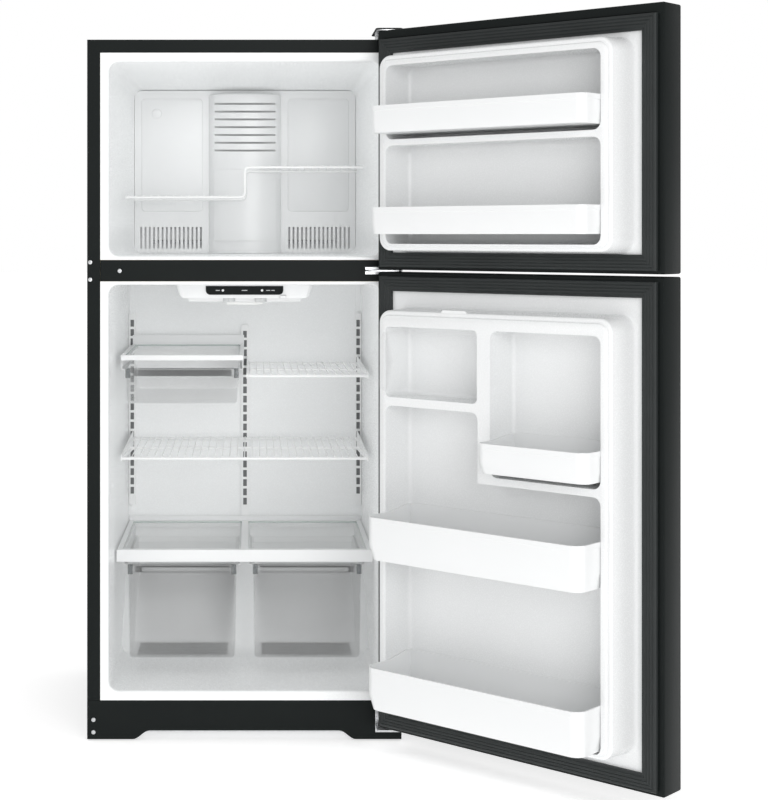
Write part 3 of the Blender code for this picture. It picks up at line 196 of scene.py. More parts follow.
class Finish:
    """A material with a Principled shader, whose constants are set on the shader's own sockets."""

    def __init__(self, name, **constants):
        self.material = bpy.data.materials.new(name)
        self.material.use_nodes = True
        self.tree = self.material.node_tree
        self.shader = self.tree.nodes["Principled BSDF"]
        for socket, value in constants.items():
            self.shader.inputs[socket.replace("_", " ")].default_value = value
        self.spot = self.node("ShaderNodeTexCoord", {}, {}, "Object")

    def node(self, kind, settings, sockets, output=0):
        """Any node: its settings first, then the values or links of its sockets."""
        made = self.tree.nodes.new(kind)
        for key, value in settings.items():
            if key == "stops":
                for stop, (place, shade) in zip(made.color_ramp.elements, value):
                    stop.position = place
                    stop.color = (*shade, 1.0)
            else:
                setattr(made, key, value)
        for key, value in sockets.items():
            if isinstance(value, Value):
                self.tree.links.new(value.socket, made.inputs[key])
            else:
                made.inputs[key].default_value = value
        return Value(self, made.outputs[output])

    def noise(self, scale, detail=2.0, spot=None):
        """Soft random values, so many to a metre."""
        sockets = {"Vector": spot or self.spot, "Scale": scale, "Detail": detail}
        return self.node("ShaderNodeTexNoise", {}, sockets)

    def stretched(self, factors):
        """The place on the piece, pulled by a factor along each axis."""
        return self.node("ShaderNodeMapping", {}, {"Vector": self.spot, "Scale": factors})

    def mix(self, share, first, second):
        """A blend of two colours."""
        return self.node("ShaderNodeMix", {"data_type": "RGBA"}, {0: share, 6: first, 7: second}, 2)

    def bump(self, height, depth, strength=1.0):
        """Relief in metres, for the shader's Normal."""
        return self.node("ShaderNodeBump", {}, {"Height": height, "Distance": depth, "Strength": strength})

    def feed(self, **links):
        """Wire values into the shader's own sockets."""
        for socket, value in links.items():
            self.tree.links.new(value.socket, self.shader.inputs[socket.replace("_", " ")])
        return self.material


print("finish classes ready")

# %% [markdown]
# ## Finishes
# Most of the outside is sheet steel under a thick black paint with a leathery grain, which scatters
# light so that finger marks don't show. A cell pattern gives the pebbles and a noise breaks them up.
# The inside is vacuum-formed white plastic: glossy, with a faint orange peel where the hot sheet
# was drawn over its mould.

# %% Black finishes
BLACK = (0.0072, 0.0094, 0.0092, 1.0)
WORN = (0.0100, 0.0126, 0.0122, 1.0)


def grained_black(name, cells, depth, roughness):
    """Dark paint or plastic with a pebbled grain."""
    finish = Finish(name, Specular_IOR_Level=0.10)
    pebbles = finish.node("ShaderNodeTexVoronoi", {"feature": "SMOOTH_F1"},
                          {"Vector": finish.spot, "Scale": cells})
    fine = finish.noise(cells * 2.2)
    broad = finish.noise(9.0)
    relief = pebbles * 0.7 + fine * 0.3
    return finish.feed(Base_Color=finish.mix(broad, BLACK, WORN),
                       Roughness=roughness + (fine - 0.5) * 0.12 + (broad - 0.5) * 0.06,
                       Normal=finish.bump(relief, depth))


case_paint = grained_black("textured_black_steel", 720.0, 0.00018, 0.40)
black_plastic = grained_black("black_plastic", 1500.0, 0.00006, 0.42)
machine_paint = grained_black("machine_paint", 260.0, 0.00030, 0.50)


def rubber_finish():
    """Soft dark vinyl, a little lighter where it is stretched."""
    finish = Finish("gasket_rubber", Specular_IOR_Level=0.35)
    fine = finish.noise(1400.0)
    broad = finish.noise(14.0)
    return finish.feed(Base_Color=finish.mix(broad, (0.014, 0.017, 0.017, 1.0), (0.022, 0.026, 0.026, 1.0)),
                       Roughness=0.50 + (fine - 0.5) * 0.10,
                       Normal=finish.bump(fine, 0.00004))


gasket_rubber = rubber_finish()
print("black finishes", case_paint.name, black_plastic.name, machine_paint.name, gasket_rubber.name)

# %% White finishes
def moulded_white(name, low, high, roughness, peel, depth, glow=0.0):
    """White plastic or paint, with a faint waviness of the size given.

    The glow is a little light of its own. It stands for the lamp inside the cabinet.
    """
    low, high = (*low, 1.0), (*high, 1.0)
    finish = Finish(name, Specular_IOR_Level=0.5, Emission_Color=high, Emission_Strength=glow)
    waves = finish.noise(peel, 1.0)
    fine = finish.noise(peel * 9.0, 3.0)
    return finish.feed(Base_Color=finish.mix(finish.noise(5.0), low, high),
                       Roughness=roughness + (fine - 0.5) * 0.08,
                       Normal=finish.bump(waves * 0.8 + fine * 0.2, depth))


liner_white = moulded_white("liner_white", (0.885, 0.897, 0.900), (0.905, 0.916, 0.917),
                            roughness=0.27, peel=55.0, depth=0.00030, glow=0.065)
door_white = moulded_white("door_liner_white", (0.790, 0.800, 0.803), (0.820, 0.828, 0.830),
                           roughness=0.27, peel=55.0, depth=0.00030)
bin_white = moulded_white("bin_white", (0.790, 0.800, 0.803), (0.820, 0.828, 0.830),
                          roughness=0.32, peel=140.0, depth=0.00008)
wire_white = moulded_white("coated_wire", (0.880, 0.888, 0.888), (0.905, 0.910, 0.910),
                           roughness=0.30, peel=380.0, depth=0.00005, glow=0.05)
shelf_white = moulded_white("shelf_white", (0.835, 0.845, 0.848), (0.865, 0.872, 0.874),
                            roughness=0.32, peel=140.0, depth=0.00008, glow=0.02)
# Dark grey painted shade, for the hollow behind the shelf-track slots.
slot_shade = moulded_white("slot_shade", (0.170, 0.176, 0.178), (0.210, 0.217, 0.219),
                           roughness=0.60, peel=90.0, depth=0.00005)
dial_grey = moulded_white("dial_grey", (0.60, 0.615, 0.615), (0.65, 0.66, 0.66),
                          roughness=0.38, peel=500.0, depth=0.00005)
lamp_white = moulded_white("lamp_diffuser", (0.90, 0.91, 0.90), (0.95, 0.955, 0.94),
                           roughness=0.22, peel=260.0, depth=0.00025)
print("white finishes", liner_white.name, door_white.name, bin_white.name, wire_white.name, shelf_white.name)

# %% [markdown]
# Clear plastic and glass are seen by their rims: face on they hide little, and edge on they turn
# grey and mirror the room. A Layer Weight value drives how much they hide, so the same finish works
# from every side. Glass also shows green in its cut edges, which the surface's own direction picks out.

# %% Clear finishes
def clear_finish(name, tint, least, most, roughness):
    """A clear sheet that hides little face on and more edge on."""
    finish = Finish(name, Roughness=roughness, IOR=1.49)
    rim = finish.node("ShaderNodeLayerWeight", {}, {"Blend": 0.35}, "Facing")
    haze = finish.noise(22.0)
    paler = tuple(min(1.0, part * 1.04) for part in tint[:3]) + (1.0,)
    return finish.feed(Base_Color=finish.mix(haze, tint, paler),
                       Alpha=least + (most - least) * rim ** 3.0 + (haze - 0.5) * 0.01,
                       Normal=finish.bump(finish.noise(30.0, 1.0), 0.0002))


def glass_finish():
    """Flat glass with green cut edges."""
    finish = Finish("shelf_glass", Roughness=0.03, IOR=1.52)
    facing = finish.node("ShaderNodeTexCoord", {}, {}, "Normal")
    parts = finish.node("ShaderNodeSeparateXYZ", {}, {"Vector": facing}, "Z")
    edge = 1.0 - (parts.maths("ABSOLUTE", parts, 0.0) > 0.6)
    rim = finish.node("ShaderNodeLayerWeight", {}, {"Blend": 0.4}, "Facing")
    haze = finish.noise(12.0)
    return finish.feed(Base_Color=finish.mix(edge, (0.90, 0.93, 0.92, 1.0), (0.45, 0.60, 0.55, 1.0)),
                       Alpha=0.03 + 0.20 * rim + edge * 0.40 + (haze - 0.5) * 0.02,
                       Normal=finish.bump(haze, 0.0001))


clear_plastic = clear_finish("clear_plastic", (0.94, 0.955, 0.96, 1.0), 0.01, 0.42, 0.06)
smoked_plastic = clear_finish("smoked_plastic", (0.20, 0.215, 0.22, 1.0), 0.60, 0.90, 0.12)
shelf_glass = glass_finish()
print("clear finishes", clear_plastic.name, shelf_glass.name)

# %% [markdown]
# Hinges and screws are steel with a bright zinc plate, which has a faint spangle. The coil is drawn
# aluminium. The rigid foam between the walls is cream, full of small cells, and hidden in use.

# %% Metals and foam
def plated_metal(name, low, high, roughness, spangle):
    """Bright metal with cells that catch the light differently."""
    finish = Finish(name, Metallic=1.0)
    cells = finish.node("ShaderNodeTexVoronoi", {}, {"Vector": finish.spot, "Scale": spangle}, "Color")
    grey = finish.node("ShaderNodeSeparateColor", {}, {"Color": cells}, "Red")
    scratches = finish.noise(90.0, 3.0, finish.stretched((1.0, 1.0, 22.0)))
    return finish.feed(Base_Color=finish.mix(grey, low, high),
                       Roughness=roughness + (grey - 0.5) * 0.10 + (scratches - 0.5) * 0.14,
                       Normal=finish.bump(scratches, 0.00004))


def foam_finish():
    """Cream rigid foam with open cells at its cut faces."""
    finish = Finish("insulation_foam", Specular_IOR_Level=0.2)
    cells = finish.node("ShaderNodeTexVoronoi", {}, {"Vector": finish.spot, "Scale": 420.0})
    broad = finish.noise(18.0)
    return finish.feed(Base_Color=finish.mix(broad, (0.72, 0.62, 0.36, 1.0), (0.80, 0.71, 0.46, 1.0)),
                       Roughness=0.85 + (broad - 0.5) * 0.10,
                       Normal=finish.bump(cells, 0.0006))


zinc = plated_metal("zinc_plate", (0.56, 0.57, 0.58, 1.0), (0.68, 0.69, 0.70, 1.0), 0.32, 320.0)
aluminium = plated_metal("aluminium", (0.74, 0.75, 0.76, 1.0), (0.82, 0.83, 0.84, 1.0), 0.30, 700.0)
foam = foam_finish()


def floor_finish():
    """Pale matt studio floor."""
    finish = Finish("studio_floor", Specular_IOR_Level=0.1,
                    Emission_Color=(1.0, 1.0, 1.0, 1.0), Emission_Strength=0.52)
    dull, pale = (0.93, 0.93, 0.93, 1.0), (0.95, 0.95, 0.95, 1.0)
    return finish.feed(Base_Color=finish.mix(finish.noise(1.5), dull, pale),
                       Roughness=0.9 + (finish.noise(200.0) - 0.5) * 0.1)


bpy.ops.object.select_all(action="DESELECT")
bpy.ops.mesh.primitive_plane_add(size=60.0, location=(0.0, 20.0, -0.0005))
floor = bpy.context.object
floor.name = "studio_floor"
floor.data.materials.append(floor_finish())
print("metals", zinc.name, aluminium.name, "and", foam.name)

# %% [markdown]
# ## Finishes for the CAD pieces
# A CAD piece whose shape is right stays. Its mesh is loose triangles with hard edges, so a Weld
# joins them and a narrow Bevel rounds each edge, as every real moulded or pressed edge is rounded.
# The modifiers leave the mesh itself as it was.

# %% Dress the CAD pieces
FINISHES = {
    "case_paint": case_paint,
    "black_plastic": black_plastic,
    "insulation_foam": foam,
    "white_plastic": liner_white,
    "white_coated_steel": wire_white,
    "gasket_rubber": gasket_rubber,
    "zinc_steel": zinc,
    "machine_paint": machine_paint,
    "aluminium": aluminium,
    "clear_plastic": clear_plastic,
    "shelf_glass": shelf_glass,
    "grey_plastic": dial_grey,
}
SHELF_LIKE = ("half_glass_shelf", "crisper_cover", "light_switch_button")

slot_of = {row["node"]: row["material_slot"] for row in frame["record"]["subparts"]}
THIN_EDGE = 0.0004
PLAIN_EDGE = 0.0009


def dress(node, finish, edge):
    """Give a CAD node its finish, and soft edges of the width given."""
    piece = frame["nodes"][node]
    piece.data.materials.clear()
    piece.data.materials.append(finish)
    for face in piece.data.polygons:
        face.use_smooth = True
        face.material_index = 0
    if piece.data.has_custom_normals:
        bpy.context.view_layer.objects.active = piece
        bpy.ops.mesh.customdata_custom_splitnormals_clear()
    weld = piece.modifiers.new("weld", "WELD")
    weld.merge_threshold = 0.00002
    soft = piece.modifiers.new("soft_edges", "BEVEL")
    soft.width = edge
    soft.segments = 2
    soft.limit_method = "ANGLE"
    soft.angle_limit = radians(32)
    soft.harden_normals = True


for node in frame["nodes"]:
    finish = FINISHES[slot_of[node]]
    if node in SHELF_LIKE:
        finish = shelf_white
    if node == "lamp_cover":
        finish = lamp_white
    dress(node, finish, THIN_EDGE if "wire" in node or "shelf_track" in node else PLAIN_EDGE)
print("dressed", len(frame["nodes"]), "CAD pieces")

# %% [markdown]
# ## Tools for modelling
# New pieces are made as by hand: a primitive is added at its size and place, some of its faces or
# edges are chosen by where they are or which way they look, and an operator shapes them. These
# helpers only save repeating the choosing.

# %% Modelling helpers
def only(piece):
    """Leave nothing selected but this piece."""
    bpy.ops.object.select_all(action="DESELECT")
    piece.select_set(True)
    bpy.context.view_layer.objects.active = piece


def add_box(name, low, high):
    """A box between two corners that are measured from the cabinet's front."""
    low, high = Vector(low), Vector(high)
    bpy.ops.object.select_all(action="DESELECT")
    bpy.ops.mesh.primitive_cube_add(size=1.0, location=FRONT + (low + high) / 2)
    piece = bpy.context.object
    piece.name = name
    piece.scale = high - low
    bpy.ops.object.transform_apply()
    return piece


def add_rod(name, axis, middle, radius, length, sides=32):
    """A round rod about an axis, with its middle measured from the cabinet's front."""
    turn = {"X": (0.0, pi / 2, 0.0), "Y": (pi / 2, 0.0, 0.0), "Z": (0.0, 0.0, 0.0)}[axis]
    bpy.ops.object.select_all(action="DESELECT")
    bpy.ops.mesh.primitive_cylinder_add(
        vertices=sides, radius=radius, depth=length, location=FRONT + Vector(middle), rotation=turn
    )
    piece = bpy.context.object
    piece.name = name
    bpy.ops.object.transform_apply()
    return piece


def choose(piece, kind, rule):
    """Enter edit mode with only the faces, edges or points selected that the rule accepts.

    The rule is given a direction, a face's normal or an edge's run, and a place from the cabinet's front.
    """
    only(piece)
    bpy.ops.object.mode_set(mode="EDIT")
    bpy.ops.mesh.select_mode(type=kind)
    bpy.ops.mesh.select_all(action="DESELECT")
    shape = bmesh.from_edit_mesh(piece.data)
    if kind == "FACE":
        found = [part for part in shape.faces if rule(part.normal, part.calc_center_median() - FRONT)]
    elif kind == "EDGE":
        found = [part for part in shape.edges
                 if rule((part.verts[1].co - part.verts[0].co).normalized(),
                         (part.verts[0].co + part.verts[1].co) / 2 - FRONT)]
    else:
        found = [part for part in shape.verts if rule(part.normal, part.co - FRONT)]
    for part in found:
        part.select_set(True)
    bmesh.update_edit_mesh(piece.data)
    return len(found)


def leave():
    """Back to object mode."""
    bpy.ops.object.mode_set(mode="OBJECT")


def round_edges(piece, rule, width, steps):
    """Round the edges that the rule accepts."""
    choose(piece, "EDGE", rule)
    bpy.ops.mesh.bevel(offset=width, segments=steps, affect="EDGES")
    leave()


def raise_by(steps):
    """Grow the selected face step by step: each pair is how far inwards, and how far out."""
    for inward, outward in steps:
        bpy.ops.mesh.inset(thickness=inward, depth=outward)


def combine(piece, other, operation):
    """Join another piece on, or cut it out, and throw the other away."""
    modifier = piece.modifiers.new("combine", "BOOLEAN")
    modifier.operation = operation
    modifier.object = other
    only(piece)
    bpy.ops.object.modifier_apply(modifier="combine")
    bpy.data.objects.remove(other)
    return piece


def cut_at(piece, height, axis="Z"):
    """Draw an edge round a piece where a level plane meets it."""
    normal = {"X": (1, 0, 0), "Y": (0, 1, 0), "Z": (0, 0, 1)}[axis]
    choose(piece, "FACE", lambda direction, spot: True)
    place = FRONT + Vector(normal) * height
    bpy.ops.mesh.bisect(plane_co=place, plane_no=normal)
    leave()


def soften(piece, width, steps=2, limit=30):
    """Round every edge that is sharper than the limit, and shade the piece smooth."""
    modifier = piece.modifiers.new("soften", "BEVEL")
    modifier.width = width
    modifier.segments = steps
    modifier.limit_method = "ANGLE"
    modifier.angle_limit = radians(limit)
    modifier.harden_normals = True
    only(piece)
    bpy.ops.object.shade_smooth()
    bpy.ops.object.modifier_apply(modifier="soften")
    return piece


def hang(piece):
    """Swing a piece that was made with the door shut to where the open door has it."""
    piece.matrix_world = to_rest @ piece.matrix_world
    only(piece)
    bpy.ops.object.transform_apply()
    return piece


def hand_over(piece, finish, slot, body, *nodes):
    """Give a piece its finish and its body, and hide the CAD nodes that it stands for."""
    piece.data.materials.clear()
    piece.data.materials.append(finish)
    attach(piece, body)
    if nodes:
        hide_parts(*nodes)
    return piece


print("helpers ready")

# %% [markdown]
# ## Door liners
# A door's inner side is one white sheet, drawn hot over a mould. It lies flat at the gasket, then
# climbs to a raised edge that runs right round and stiffens the door. Its shape is a profile that
# follows a rounded outline, so it starts as one face with rounded corners, and each step of the
# profile insets that face and lifts it. The compartments are cut with rounded boxes.

# %% Profile of the raised edge
WALL = 0.0015
PLATE_FACE = shut_box("fresh_food_door_liner")[0].y + WALL
DIKE_SIDE = 0.069
DIKE_CREST = 0.026
DIKE_HALF = HALF - DIKE_SIDE
CAVITY_HALF = DIKE_HALF - DIKE_CREST
DIKE_FLARE = 0.010
ROOM_CORNER = 0.018
ROOM_DEPTH = 0.2
DIKE_PROFILE = (
    (0.0045, 0.0008), (0.0030, 0.0018), (0.0015, 0.0030), (0.0010, 0.0045),
    (0.0026, 0.0690),
    (0.0006, 0.0022), (0.0012, 0.0018), (0.0020, 0.0012), (0.0030, 0.0004),
    (0.0024, -0.0006), (0.0010, 0.0004),
    (0.0008, 0.0022), (0.0012, 0.0018), (0.0018, 0.0008),
)
print("raised edge stands", round(sum(step[1] for step in DIKE_PROFILE), 4), "above the sheet")


def rounded_room(low, high, corner, deep):
    """A box to cut with: its long edges rounded by corner, and the edges of its far end by deep."""
    room = add_box("room", low, high)
    round_edges(room, lambda run, spot: abs(run.y) > 0.9, corner, 6)
    far = low[1] + 0.0001
    round_edges(room, lambda run, spot: abs(run.y) < 0.1 and spot.y < far, deep, 5)
    return room


def door_liner(node, dike_z, rooms):
    """The white inner sheet of one door. Each room is (x low, z low, x high, z high, corner)."""
    low, high = shut_box(node)
    piece = add_box(node + "_sheet", low, (high.x, PLATE_FACE, high.z))
    out = DIKE_HALF + DIKE_FLARE
    dike = add_box("dike", (-out, low.y + 0.0002, dike_z[0] - DIKE_FLARE),
                   (out, PLATE_FACE + 0.0003, dike_z[1] + DIKE_FLARE))
    round_edges(dike, lambda run, spot: abs(run.y) > 0.9, 0.042, 12)
    choose(dike, "FACE", lambda normal, spot: normal.y > 0.9)
    raise_by(DIKE_PROFILE)
    leave()
    combine(piece, dike, "UNION")
    for x_low, z_low, x_high, z_high, corner in rooms:
        room = rounded_room((x_low, PLATE_FACE, z_low), (x_high, ROOM_DEPTH, z_high), corner, 0.011)
        combine(piece, room, "DIFFERENCE")
    return piece


# %% [markdown]
# The freezer door has two compartments with a shelf edge between them. The fresh-food door has a
# tall one, which is wider on the hinge side, a pocket at the free edge and the dairy compartment.

# %% Freezer door liner
FREEZER_FLOOR = 1.154
FREEZER_CEILING = 1.618
DIKE_CLEARANCE = 0.0035
SHELF_EDGE = 0.014
freezer_dike = (FREEZER_FLOOR + 0.0115, FREEZER_CEILING - DIKE_CLEARANCE)
freezer_low = freezer_dike[0] + 0.018
freezer_high = freezer_dike[1] - 0.0262
ledge = freezer_low + (freezer_high - freezer_low) * 0.55
freezer_rooms = ((-CAVITY_HALF, freezer_low, CAVITY_HALF, ledge, ROOM_CORNER),
                 (-CAVITY_HALF, ledge + SHELF_EDGE, CAVITY_HALF, freezer_high, ROOM_CORNER))
freezer_sheet = door_liner("freezer_door_liner", freezer_dike, freezer_rooms)
soften(freezer_sheet, 0.0022, 3)
hang(freezer_sheet)
hand_over(freezer_sheet, door_white, "white_plastic", "freezer_door", "freezer_door_liner")
print("freezer door sheet", len(freezer_sheet.data.polygons), "faces")

# %% Fresh-food door liner
FOOD_FLOOR = 0.118
FOOD_CEILING = 1.085
food_top = shut_box("fresh_food_door_shell")[1].z
food_dike = (FOOD_FLOOR + DIKE_CLEARANCE, food_top - 0.0815)
food_low = food_dike[0] + 0.012
food_high = food_dike[1] - 0.039
dairy_floor = food_high - 0.160
pocket_floor = food_high - 0.316
SPLIT = 0.028
POST = 0.034
DAIRY_CORNER = 0.011
food_rooms = ((-CAVITY_HALF, food_low, CAVITY_HALF, pocket_floor - 0.016, ROOM_CORNER),
              (SPLIT - 0.002, food_low + 0.100, CAVITY_HALF, dairy_floor - 0.019, ROOM_CORNER),
              (-CAVITY_HALF, pocket_floor, SPLIT - POST, food_high, ROOM_CORNER),
              (SPLIT, dairy_floor, CAVITY_HALF, food_high, DAIRY_CORNER))
food_sheet = door_liner("fresh_food_door_liner", food_dike, food_rooms)
bump = add_box("bump", (0.060, 0.040, food_dike[1] - 0.008), (0.128, 0.0705, food_dike[1] + 0.0016))
round_edges(bump, lambda run, spot: abs(run.x) < 0.1 and spot.z > food_dike[1], 0.006, 4)
combine(food_sheet, bump, "UNION")
soften(food_sheet, 0.0022, 3)
hang(food_sheet)
hand_over(food_sheet, door_white, "white_plastic", "fresh_food_door", "fresh_food_door_liner")
print("fresh-food door sheet", len(food_sheet.data.polygons), "faces")

# %% [markdown]
# ## Gaskets
# The magnetic gasket is a soft dark vinyl profile with ridges, cut and welded at 45 degrees at its
# corners. A square face that is inset step by step gives those mitred corners by itself.

# %% Gaskets
GASKET_SHOULDER = ((0.0010, 0.0016), (0.0018, 0.0010), (0.0032, 0.0004))
GASKET_GROOVE = ((0.0008, -0.0012), (0.0012, 0.0), (0.0008, 0.0012))
GASKET_RIDGE = ((0.0042, 0.0),)
GASKET_FALL = ((0.0032, -0.0004), (0.0018, -0.0010), (0.0010, -0.0016), (0.0026, -0.0010), (0.0026, 0.0))
GASKET_PROFILE = (GASKET_SHOULDER + GASKET_GROOVE + GASKET_RIDGE + GASKET_GROOVE + GASKET_RIDGE
                  + GASKET_GROOVE + GASKET_FALL)
GASKET_WIDTH = sum(inward for inward, outward in GASKET_PROFILE)


def ribbed_gasket(node, body):
    """A frame of ridged vinyl, open in the middle."""
    low, high = shut_box(node)
    middle = (low + high) / 2
    rise = sum(outward for inward, outward in GASKET_SHOULDER)
    piece = add_box(node + "_profile", low, (high.x, high.y - rise, high.z))
    choose(piece, "FACE", lambda normal, spot: normal.y > 0.9)
    raise_by(GASKET_PROFILE)
    leave()
    choose(piece, "FACE", lambda normal, spot: normal.y < -0.9)
    bpy.ops.mesh.inset(thickness=GASKET_WIDTH, depth=0.0)
    leave()
    choose(piece, "FACE", lambda normal, spot: abs(normal.y) > 0.9 and
           abs(spot.x - middle.x) < 0.01 and abs(spot.z - middle.z) < 0.01)
    bpy.ops.mesh.bridge_edge_loops()
    leave()
    soften(piece, 0.0003, 2, 25)
    hang(piece)
    hand_over(piece, gasket_rubber, "gasket_rubber", body, node)
    print(node, "width", round(GASKET_WIDTH, 4))


ribbed_gasket("freezer_door_gasket", "freezer_door")
ribbed_gasket("fresh_food_door_gasket", "fresh_food_door")

# %% [markdown]
# ## Door bins
# Each bin is a moulded tray. Its free corners have a wide radius, a band stiffens the rim, the lower
# third tapers so that trays nest, and the ends climb towards the door where they snap on.

# %% Door bins
RIM_BAND = 0.011
RIM_PROUD = 0.0010
TRAY_WALL = 0.0032


def door_bin(node, corner, taper, climb, body):
    """A tray with a banded rim, a tapered foot and ends that climb towards the door."""
    low, high = shut_box(node)
    height = high.z - low.z
    crease = low.z + height * 0.36
    piece = add_box(node + "_tray", low, high)
    round_edges(piece, lambda run, spot: abs(run.z) > 0.9 and spot.y > high.y - 0.001, corner, 10)
    cut_at(piece, crease)
    cut_at(piece, high.z - RIM_BAND)
    heel = FRONT + Vector(((low.x + high.x) / 2, low.y, crease))
    choose(piece, "VERT", lambda normal, spot: spot.z < low.z + 0.001)
    bpy.ops.transform.resize(value=(1 - taper / 3, 1 - taper, 1.0), center_override=heel)
    leave()
    choose(piece, "FACE", lambda normal, spot: normal.z > 0.9)
    bpy.ops.mesh.inset(thickness=TRAY_WALL, depth=0.0)
    bpy.ops.mesh.extrude_region_move(TRANSFORM_OT_translate={"value": (0.0, 0.0, crease - high.z)})
    bpy.ops.mesh.extrude_region_move(TRANSFORM_OT_translate={"value": (0.0, 0.0, low.z + TRAY_WALL - crease)})
    bpy.ops.transform.resize(value=(1 - taper / 3, 1 - taper, 1.0), center_override=heel)
    leave()
    choose(piece, "FACE", lambda normal, spot: abs(normal.z) < 0.1 and spot.z > high.z - RIM_BAND
           and spot.y > low.y + 0.001
           and (spot.y > high.y - TRAY_WALL / 2 or not inside_tray(spot, low, high)))
    bpy.ops.mesh.extrude_region_shrink_fatten(TRANSFORM_OT_shrink_fatten={"value": RIM_PROUD})
    leave()
    cut_at(piece, 0.062, "Y")
    choose(piece, "VERT", lambda normal, spot: spot.z > high.z - 0.001 and spot.y < 0.05)
    bpy.ops.transform.translate(value=(0.0, 0.0, climb))
    leave()
    soften(piece, 0.0011, 3, 25)
    hang(piece)
    hand_over(piece, bin_white, "white_plastic", body, node)
    print(node, [round(side, 3) for side in high - low], len(piece.data.polygons), "faces")


def inside_tray(spot, low, high):
    """Whether a place is on the inner side of a tray's wall."""
    depth = min(spot.x - low.x, high.x - spot.x, high.y - spot.y)
    return depth > TRAY_WALL * 0.6


door_bin("freezer_bin_upper", 0.020, 0.02, 0.0, "freezer_door")
door_bin("freezer_bin_lower", 0.020, 0.02, 0.0, "freezer_door")
door_bin("door_bin_upper", 0.026, 0.06, 0.012, "fresh_food_door")
door_bin("door_bin_lower", 0.026, 0.06, 0.012, "fresh_food_door")
door_bin("small_door_bin", 0.024, 0.06, 0.010, "fresh_food_door")

# %% [markdown]
# ## Screws
# Pan-head screws with a cross recess hold the case and the mullion cover. One head is turned and cut,
# and the others are copies with their own mesh.

# %% Screws
def screw_head(name, x, z, radius=0.0053):
    """A domed head that stands on the front plane."""
    tall = 0.0026
    piece = add_rod(name, "Y", (x, -tall / 2, z), radius, tall, 28)
    round_edges(piece, lambda run, spot: abs(run.y) < 0.1 and spot.y < -tall + 0.0002, 0.0017, 5)
    for turn in (0, 1):
        long, short = radius * 0.55, 0.0006
        half = (long, short) if turn else (short, long)
        groove = add_box("groove", (x - half[0], -0.01, z - half[1]),
                         (x + half[0], -tall + 0.0012, z + half[1]))
        combine(piece, groove, "DIFFERENCE")
    soften(piece, 0.0001, 1, 40)
    return piece


MULLION_MIDDLE = 1.118
SCREW_PLACES = (("mullion_screw", -0.2969, MULLION_MIDDLE),
                ("case_screw_upper", -0.3670, MULLION_MIDDLE + 0.0206),
                ("case_screw_lower", -0.3670, MULLION_MIDDLE - 0.0207),
                ("base_screw_upper", -0.3593, 0.0489),
                ("base_screw_lower", -0.3593, 0.0194))
first_name, first_x, first_z = SCREW_PLACES[0]
first_screw = screw_head(first_name, first_x, first_z)
hand_over(first_screw, zinc, "zinc_steel", "cabinet")
for name, x, z in SCREW_PLACES[1:]:
    only(first_screw)
    bpy.ops.object.duplicate()
    twin = bpy.context.object
    twin.name = name
    twin.location += Vector((x - first_x, 0.0, z - first_z))
    bpy.ops.object.parent_clear(type="CLEAR_KEEP_TRANSFORM")
    bpy.ops.object.transform_apply()
    hand_over(twin, zinc, "zinc_steel", "cabinet")
print("screws", [row[0] for row in SCREW_PLACES])

# %% [markdown]
# ## Compartment liners
# Each compartment is one vacuum-formed tub with a flange that covers the foam all round its mouth.
# A box is narrowed at the back, its long edges and its far edges are rounded, and it is cut out of a
# slightly larger copy joined to a flat plate. The mouth is rounded on both sides of the sheet, so
# that its thickness stays the same round the bend.

# %% Compartment sizes
FRAME_AND_FLANGE = 0.051
OPEN_HALF = HALF - FRAME_AND_FLANGE
LINER_DEPTH = cabinet_box("freezer_liner")[1].y - WALL
STEP_START = 0.360
STEP_RISE = 0.243
SLOPE = STEP_RISE / (LINER_DEPTH - STEP_START)
LONG_CORNER = 0.024
BACK_CORNER = 0.012
MOUTH_ROUND = 0.0050


def tapered_room(grow, floor, ceiling, taper, drop):
    """The space of a compartment, grown by a wall, narrower and lower at its far end."""
    front = 0.0002 if grow else -0.02
    low = (-OPEN_HALF - grow, front, floor - grow)
    high = (OPEN_HALF + grow, LINER_DEPTH + grow, ceiling + grow)
    room = add_box("room", low, high)
    choose(room, "VERT", lambda normal, spot: spot.y > LINER_DEPTH - 0.001)
    heel = FRONT + Vector((0.0, LINER_DEPTH, floor - grow))
    shrink = (1 - taper / OPEN_HALF, 1.0, 1 - drop / (ceiling - floor))
    bpy.ops.transform.resize(value=shrink, center_override=heel)
    leave()
    round_edges(room, lambda run, spot: abs(run.y) > 0.9, LONG_CORNER + grow, 7)
    round_edges(room, lambda run, spot: abs(run.y) < 0.3 and spot.y > LINER_DEPTH - 0.004,
                BACK_CORNER + grow, 5)
    return room


def step_cutter(grow, floor):
    """The solid that the slope over the machine space takes out of a room."""
    shift = grow * (1 + SLOPE ** 2) ** 0.5 / SLOPE
    near, far = STEP_START + shift - 0.05 / SLOPE, LINER_DEPTH + 0.05
    wedge = add_box("wedge", (-HALF, near, floor - 0.30), (HALF, far, floor - 0.05))
    choose(wedge, "VERT", lambda normal, spot: spot.z > floor - 0.06 and spot.y > far - 0.001)
    bpy.ops.transform.translate(value=(0.0, 0.0, SLOPE * (far - near)))
    leave()
    return wedge


